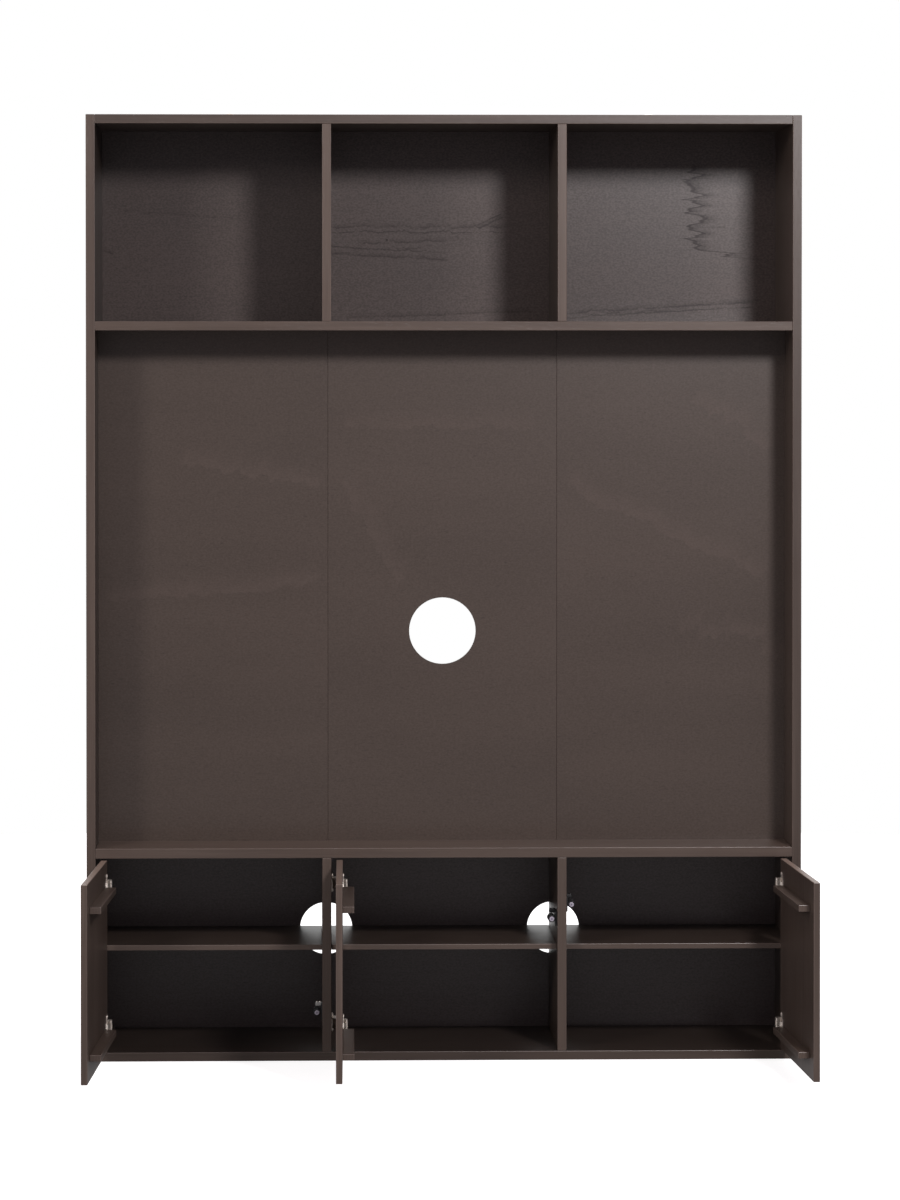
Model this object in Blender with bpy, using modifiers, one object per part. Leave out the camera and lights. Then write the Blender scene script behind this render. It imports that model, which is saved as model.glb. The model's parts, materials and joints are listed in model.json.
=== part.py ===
"""Tall TV wall cabinet in dark stained pine, with three inset doors that stand open.

Metres, +Z up, seen from the front along +Y, with +X to the right. The origin is the
centre of the carcass's footprint on the floor.
"""

import math

import bmesh
import bpy
from mathutils import Matrix, Vector

# Carcass boards
WIDTH = 1.588
DEPTH = 0.420
BOARD = 0.020
NICHE_SHELF_THICKNESS = 0.022
LOWER_CLEAR_HEIGHT = 0.431
NICHE_CLEAR_HEIGHT = 1.149
UPPER_CLEAR_HEIGHT = 0.438
EDGE_ROUND = 0.0012
SEAM = 0.0003
OVERRUN = 0.002

# Back panels, let into grooves
BACK_THICKNESS = 0.008
BACK_INSET = 0.012
NICHE_BACK_SETBACK = 0.172
GROOVE_DEPTH = 0.006
BACK_EDGE_ROUND = 0.0006
NICHE_HOLE_DIAMETER = 0.150
NICHE_HOLE_RISE = 0.473
LOWER_HOLE_DIAMETER = 0.120
STILE_WIDTH = 0.044
STILE_THICKNESS = 0.018

# Shelves inside the lower cells
MID_SHELF_THICKNESS = 0.012
MID_SHELF_RISE = 0.2335
MID_SHELF_SETBACK = 0.043

# Doors and their battens
DOOR_THICKNESS = 0.014
DOOR_SIDE_GAP = 0.003
DOOR_END_GAP = 0.0035
BATTEN_HEIGHT = 0.014
BATTEN_PROJECTION = 0.025
BATTEN_HINGE_END = 0.062
BATTEN_FREE_END = 0.050
UPPER_BATTEN_DROP = 0.060
LOWER_BATTEN_RISE = 0.050
SIDE_DOOR_OPEN_ANGLE = 92.5
CENTRE_DOOR_OPEN_ANGLE = 90.5

# Cup hinges: depths are from the closed door's inner face, reaches from the hinge-side board
HINGE_FROM_DOOR_END = 0.056
CUP_CENTRE_FROM_EDGE = 0.022
CUP_RADIUS = 0.0172
CUP_BORE_RADIUS = 0.0175
CUP_WALL = 0.0009
CUP_DEPTH = 0.012
CUP_FLOOR = 0.0008
CUP_PIN_FROM_EDGE = 0.0087
CUP_PIN_DEPTH = 0.0042
CUP_PIN_LENGTH = 0.0188
FLANGE_THICKNESS = 0.0012
FLANGE_RADIUS = 0.019
FLANGE_EAR_WIDTH = 0.0165
FLANGE_EAR_REACH = 0.0285
FLANGE_EAR_CORNER = 0.006
FLANGE_SCREW_SPACING = 0.048
FLANGE_SCREW_RADIUS = 0.0036
FLANGE_SCREW_HEIGHT = 0.0011
NOTCH_DEPTH = 0.0068
HINGE_PIN_RADIUS = 0.00105
LINK_BORE_RADIUS = 0.00140
LINK_KNUCKLE_RADIUS = 0.0022
LINK_THICKNESS = 0.0016
LINK_WIDTH = 0.010
LINK_SIDE_CLEARANCE = 0.0005
LINK_TURN_SHARE = 0.718
ARM_PIN_REACH = 0.0328
ARM_PIN_DEPTH = 0.0073
ARM_NOSE_RADIUS = 0.0029
ARM_WIDTH = 0.022
ARM_CUP_CLEARANCE = 0.0024
ARM_FORK_DEPTH = 0.0033
ARM_THROAT = 0.0110
ARM_HEIGHT = 0.0130
ARM_LENGTH = 0.058
PLATE_THICKNESS = 0.0025
PLATE_CENTRE_SETBACK = 0.037
PLATE_LENGTH = 0.036
PLATE_HEIGHT = 0.018
WING_LENGTH = 0.011
WING_SCREW_SPACING = 0.032
WING_MARGIN = 0.0055
PLATE_SCREW_RADIUS = 0.0034
PLATE_SCREW_HEIGHT = 0.0013

# Push latches: depths are from the closed door's inner face, offsets from the divider
LATCH_OFFSET = 0.012
LATCH_BARREL_RADIUS = 0.0072
LATCH_BARREL_LENGTH = 0.048
LATCH_BARREL_SETBACK = 0.0085
LATCH_BORE_RADIUS = 0.0047
LATCH_BORE_DEPTH = 0.044
LATCH_FOOT_THICKNESS = 0.0035
LATCH_FOOT_HEIGHT = 0.034
LATCH_FOOT_LENGTH = 0.040
LATCH_WEB_HEIGHT = 0.008
LATCH_SCREW_RADIUS = 0.0017
PLUNGER_HEAD_RADIUS = 0.0054
PLUNGER_HEAD_LENGTH = 0.003
PLUNGER_SHAFT_RADIUS = 0.0044
PLUNGER_SHAFT_LENGTH = 0.040
PLUNGER_DOME = 0.0008
PLUNGER_DOOR_GAP = 0.0004
LEFT_LATCH_HEIGHT = 0.105
CENTRE_LATCH_HEIGHT = 0.312
RIGHT_LATCH_HEIGHT = 0.344

# Wall brackets on the rear top edge
BRACKET_SPACING = 0.964
BRACKET_WIDTH = 0.014
BRACKET_THICKNESS = 0.002
BRACKET_FOOT = 0.030
BRACKET_RISE = 0.0227
BRACKET_BEND_RADIUS = 0.003
BRACKET_HOLE_RADIUS = 0.0025
BRACKET_HOLE_FROM_END = 0.008

# Facet counts
EDGE_SEGMENTS = 2
ROUND_SEGMENTS = 24
CUP_SEGMENTS = 24
PIN_SEGMENTS = 10
SCREW_SEGMENTS = 10
ARC_SEGMENTS = 4
HOLE_SEGMENTS = 56
MERGE_DISTANCE = 0.00001
SHARP_ANGLE = math.radians(35)

# Places worked out from the sizes above
FRONT = -DEPTH / 2
REAR = DEPTH / 2
LEFT_INNER = -WIDTH / 2 + BOARD
RIGHT_INNER = WIDTH / 2 - BOARD
CELL_WIDTH = (RIGHT_INNER - LEFT_INNER - 2 * BOARD) / 3
DIVIDER_CENTRE = (CELL_WIDTH + BOARD) / 2
SEAM_CENTRE = (RIGHT_INNER - LEFT_INNER) / 6
LOWER_FLOOR = BOARD
LOWER_CEILING = LOWER_FLOOR + LOWER_CLEAR_HEIGHT
NICHE_FLOOR = LOWER_CEILING + NICHE_SHELF_THICKNESS
NICHE_CEILING = NICHE_FLOOR + NICHE_CLEAR_HEIGHT
UPPER_FLOOR = NICHE_CEILING + BOARD
UPPER_CEILING = UPPER_FLOOR + UPPER_CLEAR_HEIGHT
HEIGHT = UPPER_CEILING + BOARD
BACK_REAR = REAR - BACK_INSET
BACK_FRONT = BACK_REAR - BACK_THICKNESS
NICHE_BACK_FRONT = FRONT + NICHE_BACK_SETBACK
NICHE_BACK_REAR = NICHE_BACK_FRONT + BACK_THICKNESS
LOWER_HOLE_HEIGHT = LOWER_FLOOR + MID_SHELF_RISE - MID_SHELF_THICKNESS / 2
DOOR_WIDTH = CELL_WIDTH - 2 * DOOR_SIDE_GAP
DOOR_BOTTOM = LOWER_FLOOR + DOOR_END_GAP
DOOR_TOP = LOWER_CEILING - DOOR_END_GAP
DOOR_INNER_FACE = FRONT + DOOR_THICKNESS
CUP_PIN_REACH = DOOR_SIDE_GAP + CUP_PIN_FROM_EDGE
CUP_REACH = DOOR_SIDE_GAP + CUP_CENTRE_FROM_EDGE
LINK_RUN = ARM_PIN_REACH - CUP_PIN_REACH
LINK_FALL = ARM_PIN_DEPTH - CUP_PIN_DEPTH
LINK_LENGTH = math.hypot(LINK_RUN, LINK_FALL)
LINK_SLOPE = math.atan2(LINK_FALL, LINK_RUN)

# The gooseneck's middle line from the cup pin to the arm pin, as shares of the link's length
GOOSENECK_SHARES = (
    (0.00, 0.00),
    (0.056, -0.145),
    (0.150, -0.211),
    (0.305, -0.221),
    (0.563, -0.169),
    (1.00, 0.00),
)

# The cranked arm's outline, as shares: each point's reach from the plate or the crest in arm
# heights, or from the nose's axis in nose radii, and its depth behind the cup's clearance in throats
ARM_UNDERSIDE_SHARES = ((1 / 3, 1.0), (2 / 3, 0.2))
ARM_NOSE_INNER_SHARES = ((-1.5, 0.0),)
ARM_NOSE_OUTER_SHARES = ((1.0, 0.5), (1 / 3, 0.8), (-1.0, 1.0))
ARM_CREST_SHARES = ((1 / 3, 1.125), (1 / 12, 1.5), (0.0, 2.0))
ARM_TAIL_SHARE = 1 / 3


def clear_scene():
    for thing in list(bpy.data.objects):
        bpy.data.objects.remove(thing, do_unlink=True)


def new_collection(name):
    group = bpy.data.collections.new(name)
    bpy.context.scene.collection.children.link(group)
    return group


def new_material(name, colour, roughness, metallic):
    material = bpy.data.materials.new(name)
    material.use_nodes = True
    shader = material.node_tree.nodes["Principled BSDF"]
    shader.inputs["Base Color"].default_value = (*colour, 1.0)
    shader.inputs["Roughness"].default_value = roughness
    shader.inputs["Metallic"].default_value = metallic
    return material


clear_scene()
PARTS = new_collection("tv_wall_cabinet")
CUTTERS = new_collection("cutters")
STAINED_PINE = new_material("stained_pine", (0.075, 0.050, 0.040), 0.42, 0.0)
STAINED_BACK = new_material("stained_back", (0.050, 0.034, 0.028), 0.50, 0.0)
NICKEL = new_material("nickel_plate", (0.66, 0.65, 0.62), 0.25, 1.0)
BLACK_PLASTIC = new_material("black_plastic", (0.015, 0.015, 0.016), 0.45, 0.0)
GREY_PLASTIC = new_material("grey_plastic", (0.22, 0.21, 0.24), 0.40, 0.0)


def add_object(name, mesh, material, group):
    thing = bpy.data.objects.new(name, mesh)
    group.objects.link(thing)
    if material is not None:
        mesh.materials.append(material)
    return thing


def mesh_from(name, shape):
    """A mesh from a bmesh, shaded smooth except at its sharp edges."""
    bmesh.ops.recalc_face_normals(shape, faces=shape.faces)
    mesh = bpy.data.meshes.new(name)
    shape.to_mesh(mesh)
    shape.free()
    mesh.shade_smooth()
    mesh.set_sharp_from_angle(angle=SHARP_ANGLE)
    return mesh


def box(name, low, high, material=None, group=None):
    """A rectangular block between two corners, with its origin at its centre."""
    low = Vector(low)
    high = Vector(high)
    shape = bmesh.new()
    bmesh.ops.create_cube(shape, size=1.0)
    bmesh.ops.scale(shape, vec=high - low, verts=shape.verts)
    thing = add_object(name, mesh_from(name, shape), material, group or PARTS)
    thing.location = (low + high) / 2
    return thing


def cylinder(name, centre, radius, length, turn, segments, material=None, group=None):
    """A round bar about local Z, turned by a matrix onto its own axis."""
    shape = bmesh.new()
    bmesh.ops.create_cone(
        shape, cap_ends=True, segments=segments, radius1=radius, radius2=radius, depth=length
    )
    bmesh.ops.transform(shape, matrix=turn, verts=shape.verts)
    thing = add_object(name, mesh_from(name, shape), material, group or PARTS)
    thing.location = centre
    return thing


ALONG_X = Matrix.Rotation(math.pi / 2, 4, "Y")
ALONG_Y = Matrix.Rotation(math.pi / 2, 4, "X")
ALONG_Z = Matrix.Identity(4)
OUTLINE_IN_YZ = Matrix(((0, 0, 1, 0), (1, 0, 0, 0), (0, 1, 0, 0), (0, 0, 0, 1)))


def outline(name, loops, centre, thickness, turn, material=None, group=None):
    """A flat outline with round or straight sides, filled and given its thickness."""
    curve = bpy.data.curves.new(name, "CURVE")
    curve.dimensions = "2D"
    curve.fill_mode = "BOTH"
    curve.extrude = thickness / 2
    for loop in loops:
        spline = curve.splines.new("POLY")
        spline.points.add(len(loop) - 1)
        for point, (x, y) in zip(spline.points, loop):
            point.co = (x, y, 0.0, 1.0)
        spline.use_cyclic_u = True
    flat = bpy.data.objects.new(name + "_outline", curve)
    PARTS.objects.link(flat)
    view = bpy.context.evaluated_depsgraph_get()
    mesh = bpy.data.meshes.new_from_object(flat.evaluated_get(view))
    bpy.data.objects.remove(flat, do_unlink=True)
    shape = bmesh.new()
    shape.from_mesh(mesh)
    bpy.data.meshes.remove(mesh)
    bmesh.ops.remove_doubles(shape, verts=shape.verts, dist=MERGE_DISTANCE)
    bmesh.ops.transform(shape, matrix=turn, verts=shape.verts)
    thing = add_object(name, mesh_from(name, shape), material, group or PARTS)
    thing.location = centre
    return thing


def turned(name, profile, centre, segments, material):
    """A profile of radius and depth carried round its axis, which runs along Y."""
    mesh = bpy.data.meshes.new(name)
    points = [(radius, depth, 0.0) for radius, depth in profile]
    edges = [(n, n + 1) for n in range(len(profile) - 1)]
    mesh.from_pydata(points, edges, [])
    thing = add_object(name, mesh, material, PARTS)
    thing.location = centre
    screw = thing.modifiers.new("turned", "SCREW")
    screw.axis = "Y"
    screw.steps = segments
    screw.render_steps = segments
    screw.use_merge_vertices = True
    screw.merge_threshold = MERGE_DISTANCE
    return thing


def ease_edges(thing, width=EDGE_ROUND):
    bevel = thing.modifiers.new("eased_edges", "BEVEL")
    bevel.width = width
    bevel.segments = EDGE_SEGMENTS
    bevel.limit_method = "ANGLE"
    return thing


def combine(thing, other, operation, solver):
    """Cuts another object out of this one or joins it on, and hides what was used."""
    boolean = thing.modifiers.new(operation.lower(), "BOOLEAN")
    boolean.operation = operation
    boolean.solver = solver
    boolean.object = other
    for group in list(other.users_collection):
        group.objects.unlink(other)
    CUTTERS.objects.link(other)
    other.hide_render = True
    other.display_type = "WIRE"
    return thing


def cut(thing, *others, solver="EXACT"):
    for other in others:
        combine(thing, other, "DIFFERENCE", solver)
    return thing


def join(thing, *others):
    """The small round pieces joined here stay closed only with the MANIFOLD solver."""
    for other in others:
        combine(thing, other, "UNION", "MANIFOLD")
    return thing


def board(name, low, high, material=STAINED_PINE, edge=EDGE_ROUND):
    return ease_edges(box(name, low, high, material), edge)


def arc(centre, radius, start, end, steps=ARC_SEGMENTS):
    """Points round a centre from one angle in degrees to another."""
    turn = [math.radians(start + (end - start) * n / steps) for n in range(steps + 1)]
    return [(centre[0] + radius * math.cos(a), centre[1] + radius * math.sin(a)) for a in turn]


def groove(name, low, high, front):
    """A cutter for a groove that holds a back panel whose front is at the given depth."""
    return box(
        name,
        (low[0], front - SEAM, low[1]),
        (high[0], front + BACK_THICKNESS + SEAM, high[1]),
        group=CUTTERS,
    )


def side_panels():
    """The two full-height sides, grooved for the upper, niche and lower backs."""
    for name, outer, inner in (("left", -WIDTH / 2, LEFT_INNER), ("right", WIDTH / 2, RIGHT_INNER)):
        low, high = sorted((outer, inner))
        side = board("side_panel_" + name, (low, FRONT, 0), (high, REAR, HEIGHT))
        into = math.copysign(GROOVE_DEPTH, outer)
        reach = sorted((inner - math.copysign(OVERRUN, outer), inner + into))
        spans = (
            ("lower", LOWER_FLOOR, LOWER_CEILING, BACK_FRONT),
            ("niche", NICHE_FLOOR, NICHE_CEILING, NICHE_BACK_FRONT),
            ("upper", UPPER_FLOOR, UPPER_CEILING, BACK_FRONT),
        )
        for span, bottom, top, front in spans:
            label = "groove_" + name + "_" + span
            start = (reach[0], bottom - GROOVE_DEPTH)
            end = (reach[1], top + GROOVE_DEPTH)
            cut(side, groove(label, start, end, front))


def level_board(name, bottom, thickness, grooves):
    """A board between the sides; each groove is its name, its depth's front and its face."""
    low = (LEFT_INNER + SEAM, FRONT, bottom)
    high = (RIGHT_INNER - SEAM, REAR, bottom + thickness)
    level = board(name, low, high)
    for label, front, upper_face in grooves:
        if upper_face:
            rise = (bottom + thickness - GROOVE_DEPTH, bottom + thickness + OVERRUN)
        else:
            rise = (bottom - OVERRUN, bottom + GROOVE_DEPTH)
        start = (LEFT_INNER - OVERRUN, rise[0])
        end = (RIGHT_INNER + OVERRUN, rise[1])
        cut(level, groove(name + "_" + label, start, end, front))
    return level


def level_boards():
    """The bottom, the niche's floor and ceiling, and the top, between the sides."""
    level_board("bottom_panel", 0, BOARD, (("lower", BACK_FRONT, True),))
    level_board(
        "niche_shelf",
        LOWER_CEILING,
        NICHE_SHELF_THICKNESS,
        (("lower", BACK_FRONT, False), ("niche", NICHE_BACK_FRONT, True)),
    )
    level_board(
        "upper_shelf",
        NICHE_CEILING,
        BOARD,
        (("niche", NICHE_BACK_FRONT, False), ("upper", BACK_FRONT, True)),
    )
    level_board("top_panel", UPPER_CEILING, BOARD, (("upper", BACK_FRONT, False),))


def dividers():
    """Two uprights above the niche and two below, in line with each other."""
    spans = (("upper", UPPER_FLOOR, UPPER_CEILING), ("lower", LOWER_FLOOR, LOWER_CEILING))
    for level, bottom, top in spans:
        for name, centre in (("left", -DIVIDER_CENTRE), ("right", DIVIDER_CENTRE)):
            board(
                level + "_divider_" + name,
                (centre - BOARD / 2, FRONT, bottom + SEAM),
                (centre + BOARD / 2, BACK_FRONT - SEAM, top - SEAM),
            )


def back_panel(name, left, right, bottom, top, front):
    """A thin panel whose edges reach into the grooves above and below it."""
    reach = GROOVE_DEPTH - SEAM
    return board(
        name,
        (left, front, bottom - reach),
        (right, front + BACK_THICKNESS, top + reach),
        STAINED_BACK,
        BACK_EDGE_ROUND,
    )


def backs():
    """Three panels side by side above and in the niche, and one behind the lower cells."""
    reach = GROOVE_DEPTH - SEAM
    spans = (
        ("left", LEFT_INNER - reach, -SEAM_CENTRE - SEAM / 2),
        ("centre", -SEAM_CENTRE + SEAM / 2, SEAM_CENTRE - SEAM / 2),
        ("right", SEAM_CENTRE + SEAM / 2, RIGHT_INNER + reach),
    )
    for name, left, right in spans:
        back_panel("upper_back_" + name, left, right, UPPER_FLOOR, UPPER_CEILING, BACK_FRONT)
        panel = back_panel(
            "niche_back_" + name, left, right, NICHE_FLOOR, NICHE_CEILING, NICHE_BACK_FRONT
        )
        if name == "centre":
            height = NICHE_FLOOR + NICHE_HOLE_RISE
            cut(panel, cable_hole("niche_hole", 0, height, NICHE_BACK_FRONT, NICHE_HOLE_DIAMETER))
    lower = back_panel(
        "lower_back", LEFT_INNER - reach, RIGHT_INNER + reach, LOWER_FLOOR, LOWER_CEILING, BACK_FRONT
    )
    for name, centre in (("left", -DIVIDER_CENTRE), ("right", DIVIDER_CENTRE)):
        label = "lower_hole_" + name
        cut(lower, cable_hole(label, centre, LOWER_HOLE_HEIGHT, BACK_FRONT, LOWER_HOLE_DIAMETER))


def cable_hole(name, across, height, front, diameter):
    centre = (across, front + BACK_THICKNESS / 2, height)
    length = BACK_THICKNESS + 2 * OVERRUN
    return cylinder(name, centre, diameter / 2, length, ALONG_Y, HOLE_SEGMENTS, group=CUTTERS)


def niche_stiles():
    """Uprights behind the niche's two seams, which stiffen the thin panels there."""
    for name, centre in (("left", -SEAM_CENTRE), ("right", SEAM_CENTRE)):
        front = NICHE_BACK_REAR + SEAM
        board(
            "niche_stile_" + name,
            (centre - STILE_WIDTH / 2, front, NICHE_FLOOR + SEAM),
            (centre + STILE_WIDTH / 2, front + STILE_THICKNESS, NICHE_CEILING - SEAM),
            STAINED_BACK,
        )


def mid_shelves():
    """One fixed shelf in each lower cell, set back to clear the closed door's battens."""
    top = LOWER_FLOOR + MID_SHELF_RISE
    pitch = CELL_WIDTH + BOARD
    for name, cell in (("left", -1), ("centre", 0), ("right", 1)):
        centre = cell * pitch
        board(
            "mid_shelf_" + name,
            (centre - CELL_WIDTH / 2 + SEAM, FRONT + MID_SHELF_SETBACK, top - MID_SHELF_THICKNESS),
            (centre + CELL_WIDTH / 2 - SEAM, BACK_FRONT - SEAM, top),
        )


def hinge_point(face, side, reach, depth, height):
    """A point by its reach from the hinge-side board and its depth behind the closed door."""
    return Vector((face + side * reach, DOOR_INNER_FACE + depth, height))


def hang(thing, pivot, home):
    """Makes a piece, modelled with its door closed, follow an empty on its joint's axis."""
    thing.parent = pivot
    thing.location = thing.location - home


def pivot_pair(name, face, side, open_angle):
    """The two empties on a door's joint axes: the links' on the arms, the door's on the links."""
    height = (DOOR_BOTTOM + DOOR_TOP) / 2
    arm_pin = hinge_point(face, side, ARM_PIN_REACH, -ARM_PIN_DEPTH, height)
    cup_pin = hinge_point(face, side, CUP_PIN_REACH, -CUP_PIN_DEPTH, height)
    link_turn = math.radians(open_angle * LINK_TURN_SHARE)
    links = bpy.data.objects.new("links_pivot_" + name, None)
    PARTS.objects.link(links)
    links.location = arm_pin
    links.rotation_euler.z = side * link_turn
    door = bpy.data.objects.new("door_pivot_" + name, None)
    PARTS.objects.link(door)
    door.parent = links
    door.location = cup_pin - arm_pin
    door.rotation_euler.z = -side * (link_turn + math.radians(open_angle))
    return links, arm_pin, door, cup_pin


def hinge_cup(name, face, side, height):
    """The pressed cup, its screwed flange, its two screws, and the pin the link turns on."""
    centre = hinge_point(face, side, CUP_REACH, 0, height)
    inner = CUP_RADIUS - CUP_WALL
    rim = SEAM + FLANGE_THICKNESS / 2
    profile = (
        (0, -CUP_DEPTH + CUP_FLOOR),
        (inner, -CUP_DEPTH + CUP_FLOOR),
        (inner, rim),
        (CUP_RADIUS, rim),
        (CUP_RADIUS, -CUP_DEPTH),
        (0, -CUP_DEPTH),
    )
    cup = turned(name, profile, centre, CUP_SEGMENTS, NICKEL)
    half = FLANGE_EAR_WIDTH / 2
    meet = math.degrees(math.acos(half / FLANGE_RADIUS))
    corner = FLANGE_EAR_CORNER
    ear = FLANGE_EAR_REACH - corner
    edge = (
        arc((0, 0), FLANGE_RADIUS, -meet, meet)
        + arc((half - corner, ear), corner, 0, 90)
        + arc((corner - half, ear), corner, 90, 180)
        + arc((0, 0), FLANGE_RADIUS, 180 - meet, 180 + meet)
        + arc((corner - half, -ear), corner, 180, 270)
        + arc((half - corner, -ear), corner, 270, 360)
    )
    mouth = arc((0, 0), (inner + CUP_RADIUS) / 2, 0, 360 - 360 / CUP_SEGMENTS, CUP_SEGMENTS - 1)
    lift = Vector((0, SEAM + FLANGE_THICKNESS / 2, 0))
    flange = outline(
        name + "_flange", (edge, mouth), centre + lift, FLANGE_THICKNESS, ALONG_Y, group=CUTTERS
    )
    join(cup, flange)
    notch_half = LINK_WIDTH / 2 + LINK_SIDE_CLEARANCE
    notch_start = hinge_point(face, side, 0, -NOTCH_DEPTH, height - notch_half)
    notch_end = hinge_point(face, side, CUP_PIN_REACH, CUP_DEPTH, height + notch_half)
    low = [min(pair) for pair in zip(notch_start, notch_end)]
    high = [max(pair) for pair in zip(notch_start, notch_end)]
    cut(cup, box(name + "_notch", low, high, group=CUTTERS), solver="MANIFOLD")
    pin = hinge_point(face, side, CUP_PIN_REACH, -CUP_PIN_DEPTH, height)
    pin_bar = cylinder(
        name + "_pin", pin, HINGE_PIN_RADIUS, CUP_PIN_LENGTH, ALONG_Z, PIN_SEGMENTS, group=CUTTERS
    )
    join(cup, pin_bar)
    for end, way in (("upper", 1), ("lower", -1)):
        screw_depth = FLANGE_THICKNESS + FLANGE_SCREW_HEIGHT / 2
        place = centre + Vector((0, screw_depth, way * FLANGE_SCREW_SPACING / 2))
        screw = cylinder(
            name + "_screw_" + end,
            place,
            FLANGE_SCREW_RADIUS,
            FLANGE_SCREW_HEIGHT,
            ALONG_Y,
            SCREW_SEGMENTS,
            group=CUTTERS,
        )
        join(cup, screw)
    return cup


def gooseneck(side):
    """The link's outline, from the middle line offset both ways with a round knuckle at each end."""
    middle = [Vector((x * LINK_LENGTH, y * LINK_LENGTH)) for x, y in GOOSENECK_SHARES]
    left = []
    right = []
    for n in range(1, len(middle) - 1):
        along = (middle[n + 1] - middle[n - 1]).normalized()
        across = Vector((-along.y, along.x)) * LINK_THICKNESS / 2
        left.append(middle[n] + across)
        right.append(middle[n] - across)
    start = math.degrees(math.atan2(middle[1].y, middle[1].x))
    last = middle[-2] - middle[-1]
    finish = math.degrees(math.atan2(last.y, last.x))
    spread = math.degrees(math.asin(LINK_THICKNESS / 2 / LINK_KNUCKLE_RADIUS))
    steps = 2 * ARC_SEGMENTS
    cup_end = arc(middle[0], LINK_KNUCKLE_RADIUS, start + spread, start + 360 - spread, steps)
    arm_end = arc(middle[-1], LINK_KNUCKLE_RADIUS, finish + spread, finish + 360 - spread, steps)
    points = cup_end + [tuple(p) for p in right[1:]] + arm_end + [tuple(p) for p in reversed(left)]
    tilt = -LINK_SLOPE
    turned_points = []
    for x, y in points:
        across = x * math.cos(tilt) - y * math.sin(tilt)
        depth = x * math.sin(tilt) + y * math.cos(tilt)
        turned_points.append((side * across, depth))
    return turned_points


def hinge_link(name, face, side, height):
    """The gooseneck that joins the cup to the arm, with a bore at each end for its pin."""
    cup_pin = hinge_point(face, side, CUP_PIN_REACH, -CUP_PIN_DEPTH, height)
    arm_pin = hinge_point(face, side, ARM_PIN_REACH, -ARM_PIN_DEPTH, height)
    link = outline(name, (gooseneck(side),), cup_pin, LINK_WIDTH, ALONG_Z, NICKEL)
    length = LINK_WIDTH + 2 * OVERRUN
    for end, pin in (("cup", cup_pin), ("arm", arm_pin)):
        bore = cylinder(
            name + "_bore_" + end, pin, LINK_BORE_RADIUS, length, ALONG_Z, PIN_SEGMENTS, group=CUTTERS
        )
        cut(link, bore)
    return link


def arm_bend(start, size, shares):
    """Points whose reach is a start and shares of a size, and whose depth is shares of the throat."""
    return [(start + size * across, ARM_CUP_CLEARANCE + ARM_THROAT * back) for across, back in shares]


def arm_outline(side):
    """The cranked arm from above: nose in the cup, throat over the door, tail on its plate."""
    nose = (ARM_PIN_REACH, -ARM_PIN_DEPTH)
    seat = SEAM + PLATE_THICKNESS / 2
    crest = seat + ARM_HEIGHT
    chamfer = ARM_HEIGHT * ARM_TAIL_SHARE
    points = [(seat, ARM_LENGTH), (seat, PLATE_CENTRE_SETBACK - PLATE_LENGTH / 2 + PLATE_THICKNESS)]
    points += arm_bend(seat, ARM_HEIGHT, ARM_UNDERSIDE_SHARES)
    points += arm_bend(nose[0], ARM_NOSE_RADIUS, ARM_NOSE_INNER_SHARES)
    points.append((nose[0] - ARM_NOSE_RADIUS, ARM_CUP_CLEARANCE - ARM_NOSE_RADIUS))
    points += arc(nose, ARM_NOSE_RADIUS, 180, 360)
    points += arm_bend(nose[0], ARM_NOSE_RADIUS, ARM_NOSE_OUTER_SHARES)
    points += arm_bend(crest, ARM_HEIGHT, ARM_CREST_SHARES)
    points += [(crest, ARM_LENGTH - chamfer), (crest - chamfer, ARM_LENGTH)]
    return [(side * reach, depth) for reach, depth in points]


def hinge_arm(name, face, side, height):
    """The arm with its winged mounting plate, two screws, forked nose and pin."""
    home = hinge_point(face, side, 0, 0, height)
    arm = outline(name, (arm_outline(side),), home, ARM_WIDTH, ALONG_Z, NICKEL)
    fork_half = LINK_WIDTH / 2 + LINK_SIDE_CLEARANCE
    start = hinge_point(face, side, ARM_PIN_REACH - 2 * ARM_NOSE_RADIUS, -CUP_DEPTH, height - fork_half)
    end = hinge_point(
        face,
        side,
        ARM_PIN_REACH + 2 * ARM_NOSE_RADIUS,
        ARM_FORK_DEPTH - ARM_PIN_DEPTH,
        height + fork_half,
    )
    low = [min(pair) for pair in zip(start, end)]
    high = [max(pair) for pair in zip(start, end)]
    cut(arm, box(name + "_fork", low, high, group=CUTTERS))
    pin = hinge_point(face, side, ARM_PIN_REACH, -ARM_PIN_DEPTH, height)
    pin_length = ARM_WIDTH - 2 * LINK_SIDE_CLEARANCE
    pin_bar = cylinder(
        name + "_pin", pin, HINGE_PIN_RADIUS, pin_length, ALONG_Z, PIN_SEGMENTS, group=CUTTERS
    )
    join(arm, pin_bar)
    base = PLATE_LENGTH / 2
    body = PLATE_HEIGHT / 2
    wing = WING_LENGTH / 2
    tip = WING_SCREW_SPACING / 2 + WING_MARGIN
    plate_edge = (
        [(base, -body), (base, body), (wing, body)]
        + arc((0, tip - wing), wing, 0, 180)
        + [(-wing, body), (-base, body), (-base, -body), (-wing, -body)]
        + arc((0, wing - tip), wing, 180, 360)
        + [(wing, -body)]
    )
    centre = hinge_point(face, side, SEAM + PLATE_THICKNESS / 2, PLATE_CENTRE_SETBACK, height)
    plate = outline(
        name + "_plate", (plate_edge,), centre, PLATE_THICKNESS, OUTLINE_IN_YZ, group=CUTTERS
    )
    join(arm, plate)
    for end, way in (("upper", 1), ("lower", -1)):
        reach = PLATE_THICKNESS + PLATE_SCREW_HEIGHT / 2
        place = hinge_point(face, side, reach, PLATE_CENTRE_SETBACK, height + way * WING_SCREW_SPACING / 2)
        screw = cylinder(
            name + "_screw_" + end,
            place,
            PLATE_SCREW_RADIUS,
            PLATE_SCREW_HEIGHT,
            ALONG_X,
            SCREW_SEGMENTS,
            group=CUTTERS,
        )
        join(arm, screw)
    return arm


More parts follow.
